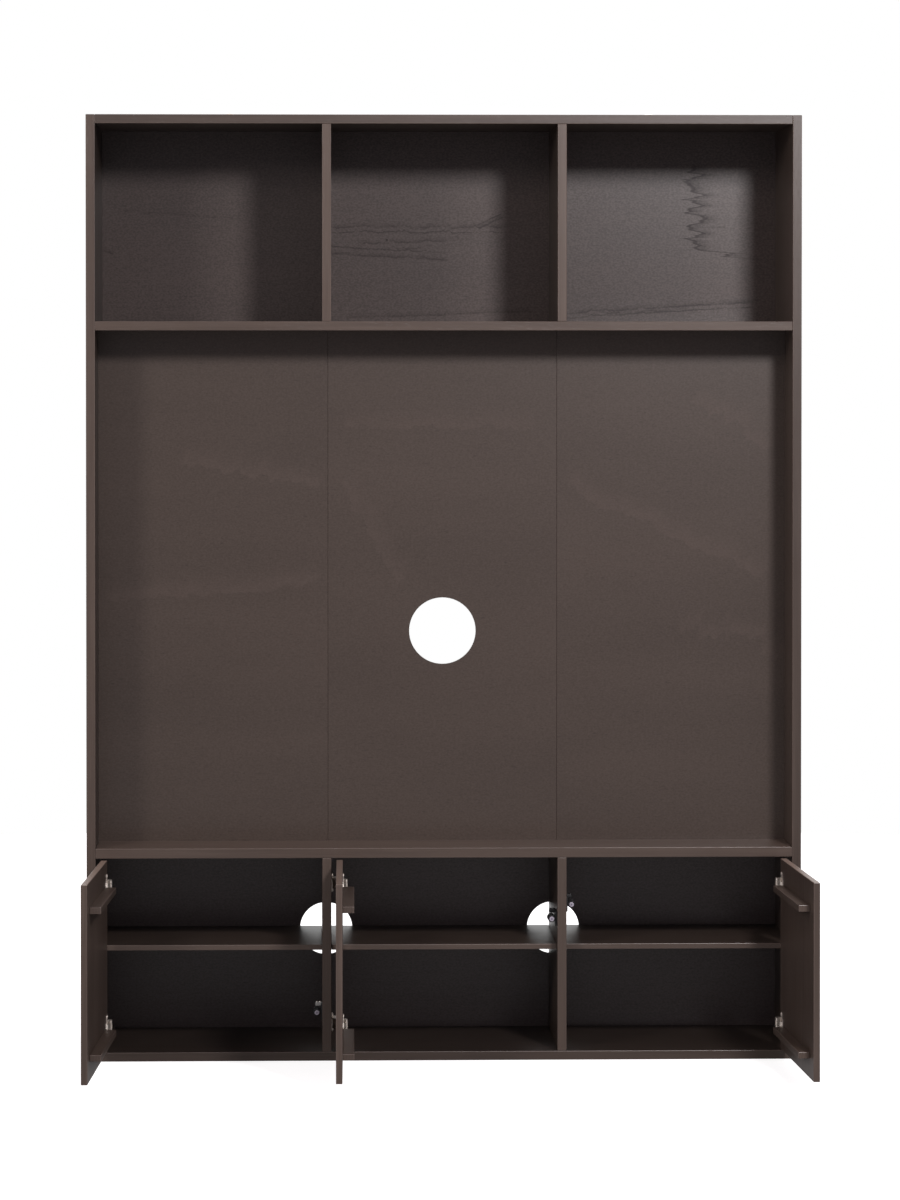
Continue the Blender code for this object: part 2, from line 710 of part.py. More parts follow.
def door(name, face, side, open_angle):
    """A door with its two battens, hinge cups, links and arms, swung to its open angle."""
    links, arm_home, pivot, cup_home = pivot_pair(name, face, side, open_angle)
    near = face + side * DOOR_SIDE_GAP
    far = near + side * DOOR_WIDTH
    low, high = sorted((near, far))
    panel = board("door_" + name, (low, FRONT, DOOR_BOTTOM), (high, DOOR_INNER_FACE, DOOR_TOP))
    for level, height in (
        ("upper", DOOR_TOP - HINGE_FROM_DOOR_END),
        ("lower", DOOR_BOTTOM + HINGE_FROM_DOOR_END),
    ):
        label = name + "_" + level
        bore_length = CUP_DEPTH + SEAM + OVERRUN
        bore_centre = hinge_point(face, side, CUP_REACH, OVERRUN - bore_length / 2, height)
        bore = cylinder(
            "cup_bore_" + label,
            bore_centre,
            CUP_BORE_RADIUS,
            bore_length,
            ALONG_Y,
            ROUND_SEGMENTS,
            group=CUTTERS,
        )
        cut(panel, bore)
        hang(bore, pivot, cup_home)
        cup = hinge_cup("hinge_cup_" + label, face, side, height)
        for piece in (cup, *[m.object for m in cup.modifiers if m.type == "BOOLEAN"]):
            hang(piece, pivot, cup_home)
        link = hinge_link("hinge_link_" + label, face, side, height)
        for piece in (link, *[m.object for m in link.modifiers if m.type == "BOOLEAN"]):
            hang(piece, links, arm_home)
        hinge_arm("hinge_arm_" + label, face, side, height)
    hang(panel, pivot, cup_home)
    start, end = sorted((near + side * BATTEN_HINGE_END, far - side * BATTEN_FREE_END))
    for level, height in (
        ("upper", DOOR_TOP - UPPER_BATTEN_DROP),
        ("lower", DOOR_BOTTOM + LOWER_BATTEN_RISE),
    ):
        batten = board(
            "batten_" + name + "_" + level,
            (start, DOOR_INNER_FACE + SEAM, height - BATTEN_HEIGHT / 2),
            (end, DOOR_INNER_FACE + BATTEN_PROJECTION, height + BATTEN_HEIGHT / 2),
        )
        hang(batten, pivot, cup_home)


def push_latch(name, face, side, height):
    """A push-to-open latch: a barrel on a screwed foot, and the plunger that slides in it."""
    barrel_front = DOOR_INNER_FACE + LATCH_BARREL_SETBACK
    barrel_rear = barrel_front + LATCH_BARREL_LENGTH
    axis = face + side * LATCH_OFFSET
    middle = Vector((axis, (barrel_front + barrel_rear) / 2, height))
    barrel = cylinder(
        "latch_housing_" + name,
        middle,
        LATCH_BARREL_RADIUS,
        LATCH_BARREL_LENGTH,
        ALONG_Y,
        ROUND_SEGMENTS,
        BLACK_PLASTIC,
    )
    foot_rear = barrel_rear - LATCH_WEB_HEIGHT / 2
    foot_front = foot_rear - LATCH_FOOT_LENGTH
    foot_low, foot_high = sorted((face + side * SEAM, face + side * (SEAM + LATCH_FOOT_THICKNESS)))
    foot = box(
        "latch_foot_" + name,
        (foot_low, foot_front, height - LATCH_FOOT_HEIGHT / 2),
        (foot_high, foot_rear, height + LATCH_FOOT_HEIGHT / 2),
        group=CUTTERS,
    )
    web_low, web_high = sorted((face + side * (SEAM + LATCH_FOOT_THICKNESS / 2), axis))
    web = box(
        "latch_web_" + name,
        (web_low, foot_front + LATCH_WEB_HEIGHT / 2, height - LATCH_WEB_HEIGHT / 2),
        (web_high, foot_rear - LATCH_WEB_HEIGHT / 2, height + LATCH_WEB_HEIGHT / 2),
        group=CUTTERS,
    )
    join(barrel, foot, web)
    bore_length = LATCH_BORE_DEPTH + OVERRUN
    bore_centre = Vector((axis, barrel_front - OVERRUN + bore_length / 2, height))
    bore = cylinder(
        "latch_bore_" + name,
        bore_centre,
        LATCH_BORE_RADIUS,
        bore_length,
        ALONG_Y,
        ROUND_SEGMENTS,
        group=CUTTERS,
    )
    cut(barrel, bore)
    screw_rise = (LATCH_FOOT_HEIGHT / 2 + LATCH_BARREL_RADIUS) / 2
    for end, way in (("upper", 1), ("lower", -1)):
        place = Vector((
            face + side * (SEAM + LATCH_FOOT_THICKNESS / 2),
            (foot_front + foot_rear) / 2,
            height + way * screw_rise,
        ))
        hole = cylinder(
            "latch_screw_hole_" + name + "_" + end,
            place,
            LATCH_SCREW_RADIUS,
            LATCH_FOOT_THICKNESS + 2 * OVERRUN,
            ALONG_X,
            SCREW_SEGMENTS,
            group=CUTTERS,
        )
        cut(barrel, hole)
    tip = DOOR_INNER_FACE + PLUNGER_DOOR_GAP
    length = PLUNGER_HEAD_LENGTH + PLUNGER_SHAFT_LENGTH
    profile = (
        (0, length),
        (PLUNGER_SHAFT_RADIUS, length),
        (PLUNGER_SHAFT_RADIUS, PLUNGER_HEAD_LENGTH),
        (PLUNGER_HEAD_RADIUS, PLUNGER_HEAD_LENGTH),
        (PLUNGER_HEAD_RADIUS, PLUNGER_DOME),
        (PLUNGER_HEAD_RADIUS - PLUNGER_DOME, 0),
        (0, 0),
    )
    place = Vector((axis, tip, height))
    turned("latch_plunger_" + name, profile, place, ROUND_SEGMENTS, GREY_PLASTIC)


def wall_brackets():
    """Bent steel angles on the rear top edge that tie the cabinet to the wall."""
    bottom = HEIGHT + SEAM
    inner_radius = BRACKET_BEND_RADIUS - BRACKET_THICKNESS
    bend = (REAR - BRACKET_BEND_RADIUS, bottom + BRACKET_BEND_RADIUS)
    edge = (
        [(REAR - BRACKET_FOOT, bottom)]
        + arc(bend, BRACKET_BEND_RADIUS, 270, 360)
        + [(REAR, HEIGHT + BRACKET_RISE), (REAR - BRACKET_THICKNESS, HEIGHT + BRACKET_RISE)]
        + list(reversed(arc(bend, inner_radius, 270, 360)))
        + [(REAR - BRACKET_FOOT, bottom + BRACKET_THICKNESS)]
    )
    length = BRACKET_THICKNESS + 2 * OVERRUN
    for name, across in (("left", -BRACKET_SPACING / 2), ("right", BRACKET_SPACING / 2)):
        label = "wall_bracket_" + name
        angle = outline(label, (edge,), (across, 0, 0), BRACKET_WIDTH, OUTLINE_IN_YZ, NICKEL)
        wall_place = (across, REAR - BRACKET_THICKNESS / 2, HEIGHT + BRACKET_RISE - BRACKET_HOLE_FROM_END)
        top_place = (across, REAR - BRACKET_FOOT + BRACKET_HOLE_FROM_END, bottom + BRACKET_THICKNESS / 2)
        for end, place, turn in (("wall", wall_place, ALONG_Y), ("top", top_place, ALONG_Z)):
            hole = cylinder(
                label + "_" + end + "_hole",
                place,
                BRACKET_HOLE_RADIUS,
                length,
                turn,
                SCREW_SEGMENTS,
                group=CUTTERS,
            )
            cut(angle, hole)


side_panels()
level_boards()
dividers()
backs()
niche_stiles()
mid_shelves()
door("left", LEFT_INNER, 1, SIDE_DOOR_OPEN_ANGLE)
door("centre", BOARD / 2 - DIVIDER_CENTRE, 1, CENTRE_DOOR_OPEN_ANGLE)
door("right", RIGHT_INNER, -1, SIDE_DOOR_OPEN_ANGLE)
push_latch("left", -DIVIDER_CENTRE - BOARD / 2, -1, LEFT_LATCH_HEIGHT)
push_latch("centre", DIVIDER_CENTRE - BOARD / 2, -1, CENTRE_LATCH_HEIGHT)
push_latch("right", DIVIDER_CENTRE + BOARD / 2, 1, RIGHT_LATCH_HEIGHT)
wall_brackets()
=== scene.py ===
"""Looks of a tall TV wall cabinet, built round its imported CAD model.

Axes: +X to the right as seen from the front, +Y from the doors to the wall, +Z up, in metres.
The sections follow the cabinet as it is put together: room, carcass, backs, doors, hinges, latches
and wall brackets.
"""

import json
from math import pi, radians

import bpy
import numpy as np
from mathutils import Matrix, Vector


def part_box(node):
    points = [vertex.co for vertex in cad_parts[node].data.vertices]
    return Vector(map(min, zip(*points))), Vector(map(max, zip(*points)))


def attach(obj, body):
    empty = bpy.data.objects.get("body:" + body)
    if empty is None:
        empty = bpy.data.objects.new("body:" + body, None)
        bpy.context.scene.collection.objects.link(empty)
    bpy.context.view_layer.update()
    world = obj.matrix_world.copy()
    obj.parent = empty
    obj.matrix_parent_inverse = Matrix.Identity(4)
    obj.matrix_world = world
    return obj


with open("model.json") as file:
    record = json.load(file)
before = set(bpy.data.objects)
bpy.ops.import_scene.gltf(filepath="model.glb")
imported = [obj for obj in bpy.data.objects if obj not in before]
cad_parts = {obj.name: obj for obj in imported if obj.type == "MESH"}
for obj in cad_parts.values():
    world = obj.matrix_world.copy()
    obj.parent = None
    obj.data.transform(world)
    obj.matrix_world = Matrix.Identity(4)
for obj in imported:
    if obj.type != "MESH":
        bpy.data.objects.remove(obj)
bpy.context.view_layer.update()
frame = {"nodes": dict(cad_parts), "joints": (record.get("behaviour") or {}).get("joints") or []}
nodes = frame["nodes"]

# The room: a pale studio with a white backdrop behind the cabinet, so its openings show white. The
# room in front is dim. Two soft lamps stand high in front, a small one to the right and a broad one
# to the left, and give the double shadows in the open compartments.

FRONT_GLOW = 0.27
FRONT_COLOUR = (1.0, 0.895, 0.95, 1.0)
WHITE = (1.0, 1.0, 1.0, 1.0)
FRONT_LEAN = (-0.40, 0.0, 0.80)
BACKDROP_START = -0.05
BACKDROP_FULL = 0.35
CAMERA_PLACE = (-0.302, -10.817, 1.5655)
CAMERA_PITCH = radians(-1.0)
CAMERA_YAW = radians(1.696)
CAMERA_LENS = 143.56
CAMERA_SENSOR = 36.0
CAMERA_SHIFT = -0.1338
CAMERA_REACH = 100.0
AIM = Vector((0.0, 0.0, 1.15))
KEY_LAMP = {"place": (1.53, -4.39, 3.20), "size": 0.6, "power": 147.0, "colour": (1.0, 0.965, 0.98)}
FILL_LAMP = {"place": (-3.28, -4.39, 3.22), "size": 1.05, "power": 78.0, "colour": (1.0, 0.97, 0.95)}
FLOOR_RADIUS = 5.0
FLOOR_RINGS = 12
FLOOR_SPOKES = 64
FLOOR_TONE = 0.30
FLOOR_TONE_SEEN = 0.80
FLOOR_GLOW_NEAR = 0.76
FLOOR_GLOSS_FRONT = 0.17
FLOOR_SHADE_INNER = 1.0
FLOOR_SHADE_OUTER = 1.9


def node(tree, kind, sockets=(), **settings):
    """Adds a shader node; each socket takes a plain value or the output that feeds it."""
    made = tree.nodes.new("ShaderNode" + kind)
    for key, value in settings.items():
        setattr(made, key, value)
    for key, value in dict(sockets).items():
        if isinstance(value, bpy.types.NodeSocket):
            tree.links.new(value, made.inputs[key])
        else:
            made.inputs[key].default_value = value
    return made


def calc(tree, operation, *values, clamp=False):
    """One Math node; each value is a number or an output."""
    return node(tree, "Math", enumerate(values), operation=operation, use_clamp=clamp).outputs[0]


def ramp(tree, value, start, end, low=0.0, high=1.0):
    """The value carried smoothly from start..end to low..high."""
    sockets = {"Value": value, "From Min": start, "From Max": end, "To Min": low, "To Max": high}
    return node(tree, "MapRange", sockets, interpolation_type="SMOOTHSTEP").outputs[0]


def split(tree, vector):
    """The three components of a vector output."""
    return node(tree, "SeparateXYZ", {"Vector": vector}).outputs


def studio_world():
    """Dim in front, a little brighter above and to the left, white behind by the ray's own direction,
    and white wherever the camera looks."""
    world = bpy.data.worlds.new("pale_studio")
    world.use_nodes = True
    tree = world.node_tree
    direction = node(tree, "TexCoord").outputs["Generated"]
    light = node(tree, "LightPath").outputs
    behind = ramp(tree, split(tree, direction)["Y"], BACKDROP_START, BACKDROP_FULL)
    seen = calc(tree, "MAXIMUM", light["Is Camera Ray"], light["Is Transmission Ray"])
    white = calc(tree, "MAXIMUM", behind, seen)
    lean = node(tree, "VectorMath", {0: direction, 1: FRONT_LEAN}, operation="DOT_PRODUCT").outputs["Value"]
    glow = calc(tree, "MULTIPLY_ADD", lean, FRONT_GLOW, FRONT_GLOW)
    strength = node(tree, "Mix", {0: white, 2: glow, 3: 1.0}).outputs[0]
    colour = node(tree, "Mix", {0: white, 6: FRONT_COLOUR, 7: WHITE}, data_type="RGBA").outputs[2]
    tree.links.new(colour, tree.nodes["Background"].inputs["Color"])
    tree.links.new(strength, tree.nodes["Background"].inputs["Strength"])
    bpy.context.scene.world = world


def studio_lamp(name, place, size, power, colour):
    """A round soft lamp aimed at the middle of the cabinet."""
    data = bpy.data.lights.new(name, "AREA")
    data.shape = "DISK"
    data.size = size
    data.energy = power
    data.color = colour
    lamp = bpy.data.objects.new(name, data)
    lamp.location = place
    lamp.rotation_euler = (AIM - Vector(place)).to_track_quat("-Z", "Y").to_euler()
    bpy.context.scene.collection.objects.link(lamp)


def studio_camera():
    """Stands at eye height in front, turned a little to the right and a degree down."""
    data = bpy.data.cameras.new("studio_camera")
    data.sensor_fit = "VERTICAL"
    data.sensor_height = CAMERA_SENSOR
    data.sensor_width = CAMERA_SENSOR
    data.lens = CAMERA_LENS
    data.shift_y = CAMERA_SHIFT
    data.clip_end = CAMERA_REACH
    camera = bpy.data.objects.new("studio_camera", data)
    camera.location = CAMERA_PLACE
    camera.rotation_euler = (pi / 2 + CAMERA_PITCH, 0.0, -CAMERA_YAW)
    bpy.context.scene.collection.objects.link(camera)
    bpy.context.scene.camera = camera


def grid_faces(rows, columns, closed):
    """Quads between the rows of a rows x columns grid; closed joins the last column to the first."""
    row, column = np.mgrid[: rows - 1, : columns if closed else columns - 1]
    start = row * columns + column
    after = row * columns + (column + 1) % columns
    return np.stack([start, after, after + columns, start + columns], axis=-1).reshape(-1, 4)


def mesh_object(name, points, faces, smooth=False):
    """A mesh object at the origin from an array of points and a list of faces."""
    mesh = bpy.data.meshes.new(name)
    corners = [list(map(int, face)) for face in faces]
    mesh.from_pydata(np.asarray(points, float).reshape(-1, 3).tolist(), [], corners)
    mesh.polygons.foreach_set("use_smooth", np.full(len(mesh.polygons), smooth))
    mesh.update()
    made = bpy.data.objects.new(name, mesh)
    bpy.context.scene.collection.objects.link(made)
    return made


def studio_floor():
    """A round sheet: radius times (cos a, sin a), from the centre out to its rim."""
    radius = np.linspace(0.0, FLOOR_RADIUS, FLOOR_RINGS)[1:, None]
    angle = np.linspace(0.0, 2 * pi, FLOOR_SPOKES, endpoint=False)[None, :]
    ring = np.stack([radius * np.cos(angle), radius * np.sin(angle), 0 * radius * angle], axis=-1)
    points = np.vstack([ring.reshape(-1, 3), np.zeros((1, 3))])
    hub = len(points) - 1
    first = [(hub, i, (i + 1) % FLOOR_SPOKES) for i in range(FLOOR_SPOKES)]
    quads = grid_faces(len(radius), FLOOR_SPOKES, closed=True)[:, ::-1]
    floor = mesh_object("studio_floor", points, [*first, *quads])
    material = bpy.data.materials.new("pale_floor")
    material.use_nodes = True
    tree = material.node_tree
    tree.nodes.clear()
    place = node(tree, "TexCoord").outputs["Object"]
    light = node(tree, "LightPath").outputs
    away = node(tree, "VectorMath", {0: place}, operation="LENGTH").outputs["Value"]
    glow = ramp(tree, away, FLOOR_SHADE_INNER, FLOOR_SHADE_OUTER, FLOOR_GLOW_NEAR, 1.0)
    behind = ramp(tree, split(tree, place)["Y"], BACKDROP_START, BACKDROP_FULL, FLOOR_GLOSS_FRONT, 1.0)
    seen = calc(tree, "MULTIPLY", light["Is Camera Ray"], glow)
    mirrored = calc(tree, "MULTIPLY", light["Is Glossy Ray"], behind)
    strength = calc(tree, "ADD", seen, mirrored)
    tone = node(tree, "Mix", {0: light["Is Camera Ray"], 2: FLOOR_TONE, 3: FLOOR_TONE_SEEN}).outputs[0]
    matt = node(tree, "BsdfDiffuse", {"Color": tone})
    shine = node(tree, "Emission", {"Strength": strength})
    both = node(tree, "AddShader", {0: matt.outputs[0], 1: shine.outputs[0]})
    node(tree, "OutputMaterial", {"Surface": both.outputs[0]})
    floor.data.materials.append(material)


studio_world()
studio_lamp("key_lamp", **KEY_LAMP)
studio_lamp("fill_lamp", **FILL_LAMP)
studio_camera()
studio_floor()
bpy.context.scene.view_settings.view_transform = "Standard"

# The carcass: 20 mm boards of pine, stained dark brown and satin lacquered, glued and doweled. The
# grain of the sides and dividers stands up, that of the shelves lies along them. The planed edges are
# lighter, partly from the stain and partly as painted sheen, and a lighter line runs along the
# arrises, partly rubbed lacquer and partly a painted highlight.

STAIN_DARK = (0.0560, 0.0388, 0.0305)
STAIN_LIGHT = (0.0800, 0.0572, 0.0456)
STAIN_MARKS = (0.0300, 0.0195, 0.0170)
# The arris colour and the edge tone lighten the arrises and the planed edges: partly rubbed lacquer and a
# lighter take of the stain, partly a painted highlight and painted sheen.
ARRIS_COLOUR = (0.150, 0.112, 0.096)
EDGE_TONE = 1.22
EDGE_BAND = 0.0009
ARRIS_WIDTH = 0.0016
ARRIS_LEAST_SHARE = 0.5
ARRIS_FULL_SHARE = 0.4
ARRIS_GONE_SHARE = 1.1
ARRIS_WEAR_AND_HIGHLIGHT_SHARE = 0.5
ARRIS_SWINGS = (30.0, 30.0, 30.0)
LACQUER_ROUGHNESS = 0.36
LACQUER_UNEVEN = 0.04
LACQUER_SWINGS = (9.0, 9.0, 9.0)
RING_SPACING = 0.0062
RING_SWAY = 0.09
RING_SWAY_SWINGS = (1.6, 3.0, 3.0)
RING_ROUGH = 0.0035
RING_ROUGH_SWINGS = (5.0, 60.0, 60.0)
RING_LATE_POWER = 2.5
RING_LATE_SHARE = 0.90
RING_SHARE = 0.30
PITH_DEPTH = 0.085
PITH_ASIDE_SHARE = 0.4
PITH_TURN = 7.0
FIBRE_SWINGS = (2.2, 70.0, 70.0)
FINE_FIBRE_SWINGS = (9.0, 420.0, 420.0)
FINE_FIBRE_SHARE = 0.35
FIBRE_SPREAD = 0.23
PORE_SWINGS = (45.0, 900.0, 900.0)
PORE_RANGE = (0.62, 0.72)
PORE_SHARE = 0.5
GRAIN_RELIEF = 0.0002
GRAIN_RELIEF_STRENGTH = 0.3
UP = (0, 0, 1)
RIGHT = (1, 0, 0)
BACK = (0, 1, 0)


def group(name, inputs, outputs):
    """An empty shader group with named sockets; returns it with its input and output sockets."""
    tree = bpy.data.node_groups.new(name, "ShaderNodeTree")
    for label, kind, value in inputs:
        socket = tree.interface.new_socket(label, in_out="INPUT", socket_type="NodeSocket" + kind)
        socket.default_value = value
    for label, kind in outputs:
        tree.interface.new_socket(label, in_out="OUTPUT", socket_type="NodeSocket" + kind)
    return tree, tree.nodes.new("NodeGroupInput").outputs, tree.nodes.new("NodeGroupOutput").inputs


def noise(tree, vector, stretch, detail=2.0, seed=0.0):
    """Noise of 0..1; stretch is how many swings it makes per metre along each axis."""
    shift = seed if isinstance(seed, bpy.types.NodeSocket) else (seed, seed, seed)
    moved = node(tree, "VectorMath", {0: vector, 1: stretch, 2: shift}, operation="MULTIPLY_ADD").outputs[0]
    return node(tree, "TexNoise", {"Vector": moved, "Scale": 1.0, "Detail": detail}).outputs[0]


def edge_masks_group():
    """Near an arris two of the three distances to the faces are small, so the median of them is the
    distance to the nearest arris; the mask falls from 1 there to 0 at a width that wanders. The edge
    is 1 where the distance to a long narrow face is next to nothing, and the end is 1 on end grain."""
    tree, given, wanted = group(
        "Edge wear",
        [("Vector", "Vector", (0, 0, 0)), ("Half Size", "Vector", (1, 1, 1)),
         ("Width", "Float", ARRIS_WIDTH)],
        [("Arris", "Float"), ("Edge", "Float"), ("End", "Float")],
    )
    inside = node(tree, "VectorMath", {0: given["Vector"]}, operation="ABSOLUTE").outputs[0]
    depth = node(tree, "VectorMath", {0: given["Half Size"], 1: inside}, operation="SUBTRACT").outputs[0]
    a, b, c = split(tree, depth)
    low = calc(tree, "MINIMUM", a, b)
    high = calc(tree, "MINIMUM", calc(tree, "MAXIMUM", a, b), c)
    median = calc(tree, "MAXIMUM", low, high)
    wander = noise(tree, given["Vector"], ARRIS_SWINGS, detail=3.0)
    reach = calc(tree, "MULTIPLY", given["Width"], calc(tree, "ADD", wander, ARRIS_LEAST_SHARE))
    far = calc(tree, "DIVIDE", median, reach)
    tree.links.new(ramp(tree, far, ARRIS_FULL_SHARE, ARRIS_GONE_SHARE, 1.0, 0.0), wanted["Arris"])
    tree.links.new(ramp(tree, b, EDGE_BAND / 2, EDGE_BAND, 1.0, 0.0), wanted["Edge"])
    tree.links.new(ramp(tree, a, EDGE_BAND / 2, EDGE_BAND, 1.0, 0.0), wanted["End"])
    return tree


def pine_grain_group():
    """Growth rings are cylinders about a pith that lies below the board: the distance to it, warped by
    low noise, counts the rings, and each darkens slowly and ends sharply. Fibres are noise drawn out
    along the grain, and pores are its narrowest dark peaks."""
    tree, given, wanted = group(
        "Pine grain",
        [("Vector", "Vector", (0, 0, 0)), ("Seed", "Float", 0.0), ("Pith", "Vector", (0, 0, -PITH_DEPTH)),
         ("Spacing", "Float", RING_SPACING)],
        [("Rings", "Float"), ("Fibres", "Float"), ("Pores", "Float")],
    )
    vector, seed = given["Vector"], given["Seed"]
    sway = noise(tree, vector, RING_SWAY_SWINGS, seed=seed)
    sway = calc(tree, "MULTIPLY_ADD", sway, RING_SWAY, -RING_SWAY / 2)
    offset = node(tree, "VectorMath", {0: vector, 1: given["Pith"]}, operation="SUBTRACT").outputs[0]
    across = split(tree, offset)
    side = calc(tree, "ADD", across["Y"], sway)
    squares = calc(tree, "MULTIPLY_ADD", side, side, calc(tree, "MULTIPLY", across["Z"], across["Z"]))
    rough = calc(tree, "MULTIPLY", noise(tree, vector, RING_ROUGH_SWINGS, seed=seed), RING_ROUGH)
    radius = calc(tree, "ADD", calc(tree, "SQRT", squares), rough)
    turn = calc(tree, "FRACT", calc(tree, "DIVIDE", radius, given["Spacing"]))
    late = ramp(tree, turn, RING_LATE_SHARE, 1.0, 1.0, 0.0)
    late = calc(tree, "MULTIPLY", calc(tree, "POWER", turn, RING_LATE_POWER), late)
    tree.links.new(late, wanted["Rings"])
    broad = noise(tree, vector, FIBRE_SWINGS, detail=3.0, seed=seed)
    broad = calc(tree, "MULTIPLY", broad, 1.0 - FINE_FIBRE_SHARE)
    fine = noise(tree, vector, FINE_FIBRE_SWINGS, seed=seed)
    fibres = calc(tree, "MULTIPLY_ADD", fine, FINE_FIBRE_SHARE, broad)
    tree.links.new(fibres, wanted["Fibres"])
    pores = noise(tree, vector, PORE_SWINGS, detail=1.0, seed=seed)
    tree.links.new(ramp(tree, pores, *PORE_RANGE), wanted["Pores"])
    return tree


EDGE_MASKS = edge_masks_group()
PINE_GRAIN = pine_grain_group()


def board_frame(name, along, across):
    """Centre, turn and half size of a board in its axes: X with the grain, Y across it, Z through it."""
    axes = np.array([along, across, np.cross(along, across)], float)
    points = np.array([vertex.co for vertex in nodes[name].data.vertices]) @ axes.T
    low, high = points.min(axis=0), points.max(axis=0)
    turn = Matrix(axes.T.tolist()).to_euler()
    return Vector((low + high) / 2 @ axes), turn, Vector((high - low) / 2)


def board_vector(tree, centre, turn):
    """Object coordinates carried into the board's own axes."""
    place = node(tree, "TexCoord").outputs["Object"]
    sockets = {"Vector": place, "Location": centre, "Rotation": turn}
    return node(tree, "Mapping", sockets, vector_type="TEXTURE").outputs[0]


def toned(colour, tone=1.0):
    """A colour with its alpha, made darker or lighter by the tone."""
    return tuple(tone * part for part in colour) + (1.0,)


def mixed(tree, share, first, second):
    """Two colours mixed by a share."""
    return node(tree, "Mix", {0: share, 6: first, 7: second}, data_type="RGBA").outputs[2]


def new_material(name):
    """A material with its tree and its Principled surface."""
    material = bpy.data.materials.new(name)
    material.use_nodes = True
    return material, material.node_tree, material.node_tree.nodes["Principled BSDF"]


def put(name, material):
    """The material takes every slot of a CAD node."""
    for place in nodes[name].material_slots:
        place.material = material


def pine(name, along, across, seed, tone=1.0, edge=EDGE_TONE, end=EDGE_TONE, rings=RING_SHARE,
         spread=FIBRE_SPREAD):
    """Stained pine for one board, with its grain in the board's own axes and a tone each for its
    faces, its long edges and its end grain. Set board by board, these tones also carry painted light
    and shade: how the lamps reach each board's faces and the sheen its edges and ends catch."""
    centre, turn, half = board_frame(name, along, across)
    material, tree, surface = new_material("stained_pine_" + name)
    vector = board_vector(tree, centre, turn)
    grain = node(tree, "Group", {}, node_tree=PINE_GRAIN)
    grain.inputs["Seed"].default_value = seed
    aside = half.y * PITH_ASIDE_SHARE * np.sin(seed * PITH_TURN)
    grain.inputs["Pith"].default_value = (0.0, aside, -PITH_DEPTH)
    tree.links.new(vector, grain.inputs["Vector"])
    masks = node(tree, "Group", {}, node_tree=EDGE_MASKS)
    masks.inputs["Half Size"].default_value = half
    tree.links.new(vector, masks.inputs["Vector"])
    streak = ramp(tree, grain.outputs["Fibres"], 0.5 - spread, 0.5 + spread)
    face = mixed(tree, streak, toned(STAIN_DARK, tone), toned(STAIN_LIGHT, tone))
    marks = toned(STAIN_MARKS, tone)
    face = mixed(tree, calc(tree, "MULTIPLY", grain.outputs["Rings"], rings), face, marks)
    face = mixed(tree, calc(tree, "MULTIPLY", grain.outputs["Pores"], PORE_SHARE), face, marks)
    narrow = mixed(tree, streak, toned(STAIN_DARK, edge), toned(STAIN_LIGHT, edge))
    wood = mixed(tree, masks.outputs["Edge"], face, narrow)
    cut = mixed(tree, grain.outputs["Rings"], toned(STAIN_LIGHT, end), toned(STAIN_DARK, end))
    wood = mixed(tree, masks.outputs["End"], wood, cut)
    # The lighter arris line: partly rubbed lacquer, partly a painted highlight.
    rubbed = calc(tree, "MULTIPLY", masks.outputs["Arris"], ARRIS_WEAR_AND_HIGHLIGHT_SHARE)
    wood = mixed(tree, rubbed, wood, toned(ARRIS_COLOUR))
    tree.links.new(wood, surface.inputs["Base Color"])
    cloud = noise(tree, vector, LACQUER_SWINGS, detail=3.0, seed=seed)
    gloss = calc(tree, "MULTIPLY_ADD", cloud, 2 * LACQUER_UNEVEN, LACQUER_ROUGHNESS - LACQUER_UNEVEN)
    tree.links.new(gloss, surface.inputs["Roughness"])
    relief = calc(tree, "SUBTRACT", grain.outputs["Fibres"], grain.outputs["Pores"])
    sockets = {"Strength": GRAIN_RELIEF_STRENGTH, "Distance": GRAIN_RELIEF, "Height": relief}
    bump = node(tree, "Bump", sockets)
    tree.links.new(bump.outputs[0], surface.inputs["Normal"])
    put(name, material)


# Painted light and shade in these tones: the left side is darkened and the right side lightened, the niche
# shelf lightened, and the bottom panel and the mid shelves darkened, for how the lamps reach each board.
# The edge tones, partly the stain's lighter take on the edges, are set board by board to the sheen each
# front edge catches.
pine("side_panel_left", UP, BACK, 3.0, tone=0.62)
pine("side_panel_right", UP, BACK, 4.0, tone=1.32, edge=0.94)
pine("top_panel", RIGHT, BACK, 11.0, edge=0.94)
pine("upper_shelf", RIGHT, BACK, 12.0)
pine("niche_shelf", RIGHT, BACK, 13.0, tone=1.75)
pine("bottom_panel", RIGHT, BACK, 14.0, tone=0.55, edge=0.90)
for seed, name in enumerate(("upper_divider_left", "upper_divider_right"), 21):
    pine(name, UP, BACK, seed, tone=0.88, edge=1.36)
for seed, name in enumerate(("lower_divider_left", "lower_divider_right"), 25):
    pine(name, UP, BACK, seed, edge=1.17)
for seed, name in enumerate(("mid_shelf_left", "mid_shelf_centre", "mid_shelf_right"), 31):
    pine(name, RIGHT, BACK, seed, tone=0.85, edge=1.25)

# The backs: 8 mm panels in grooves, three across in the upper compartments and in the niche and one
# low down, faced with veneer whose grain lies level. Where the knife ran out of a growth ring, the
# ring's line is jagged. Two uprights stiffen the niche seams from behind.

VENEER_DARK = (0.0480, 0.0318, 0.0270)
VENEER_LIGHT = (0.0790, 0.0535, 0.0455)
VENEER_MARKS = (0.0120, 0.0040, 0.0035)
# The niche shades are warmer than the veneer's: painted warm lamp light in the niche.
NICHE_DARK = (0.0480, 0.0322, 0.0240)
NICHE_LIGHT = (0.0700, 0.0485, 0.0375)
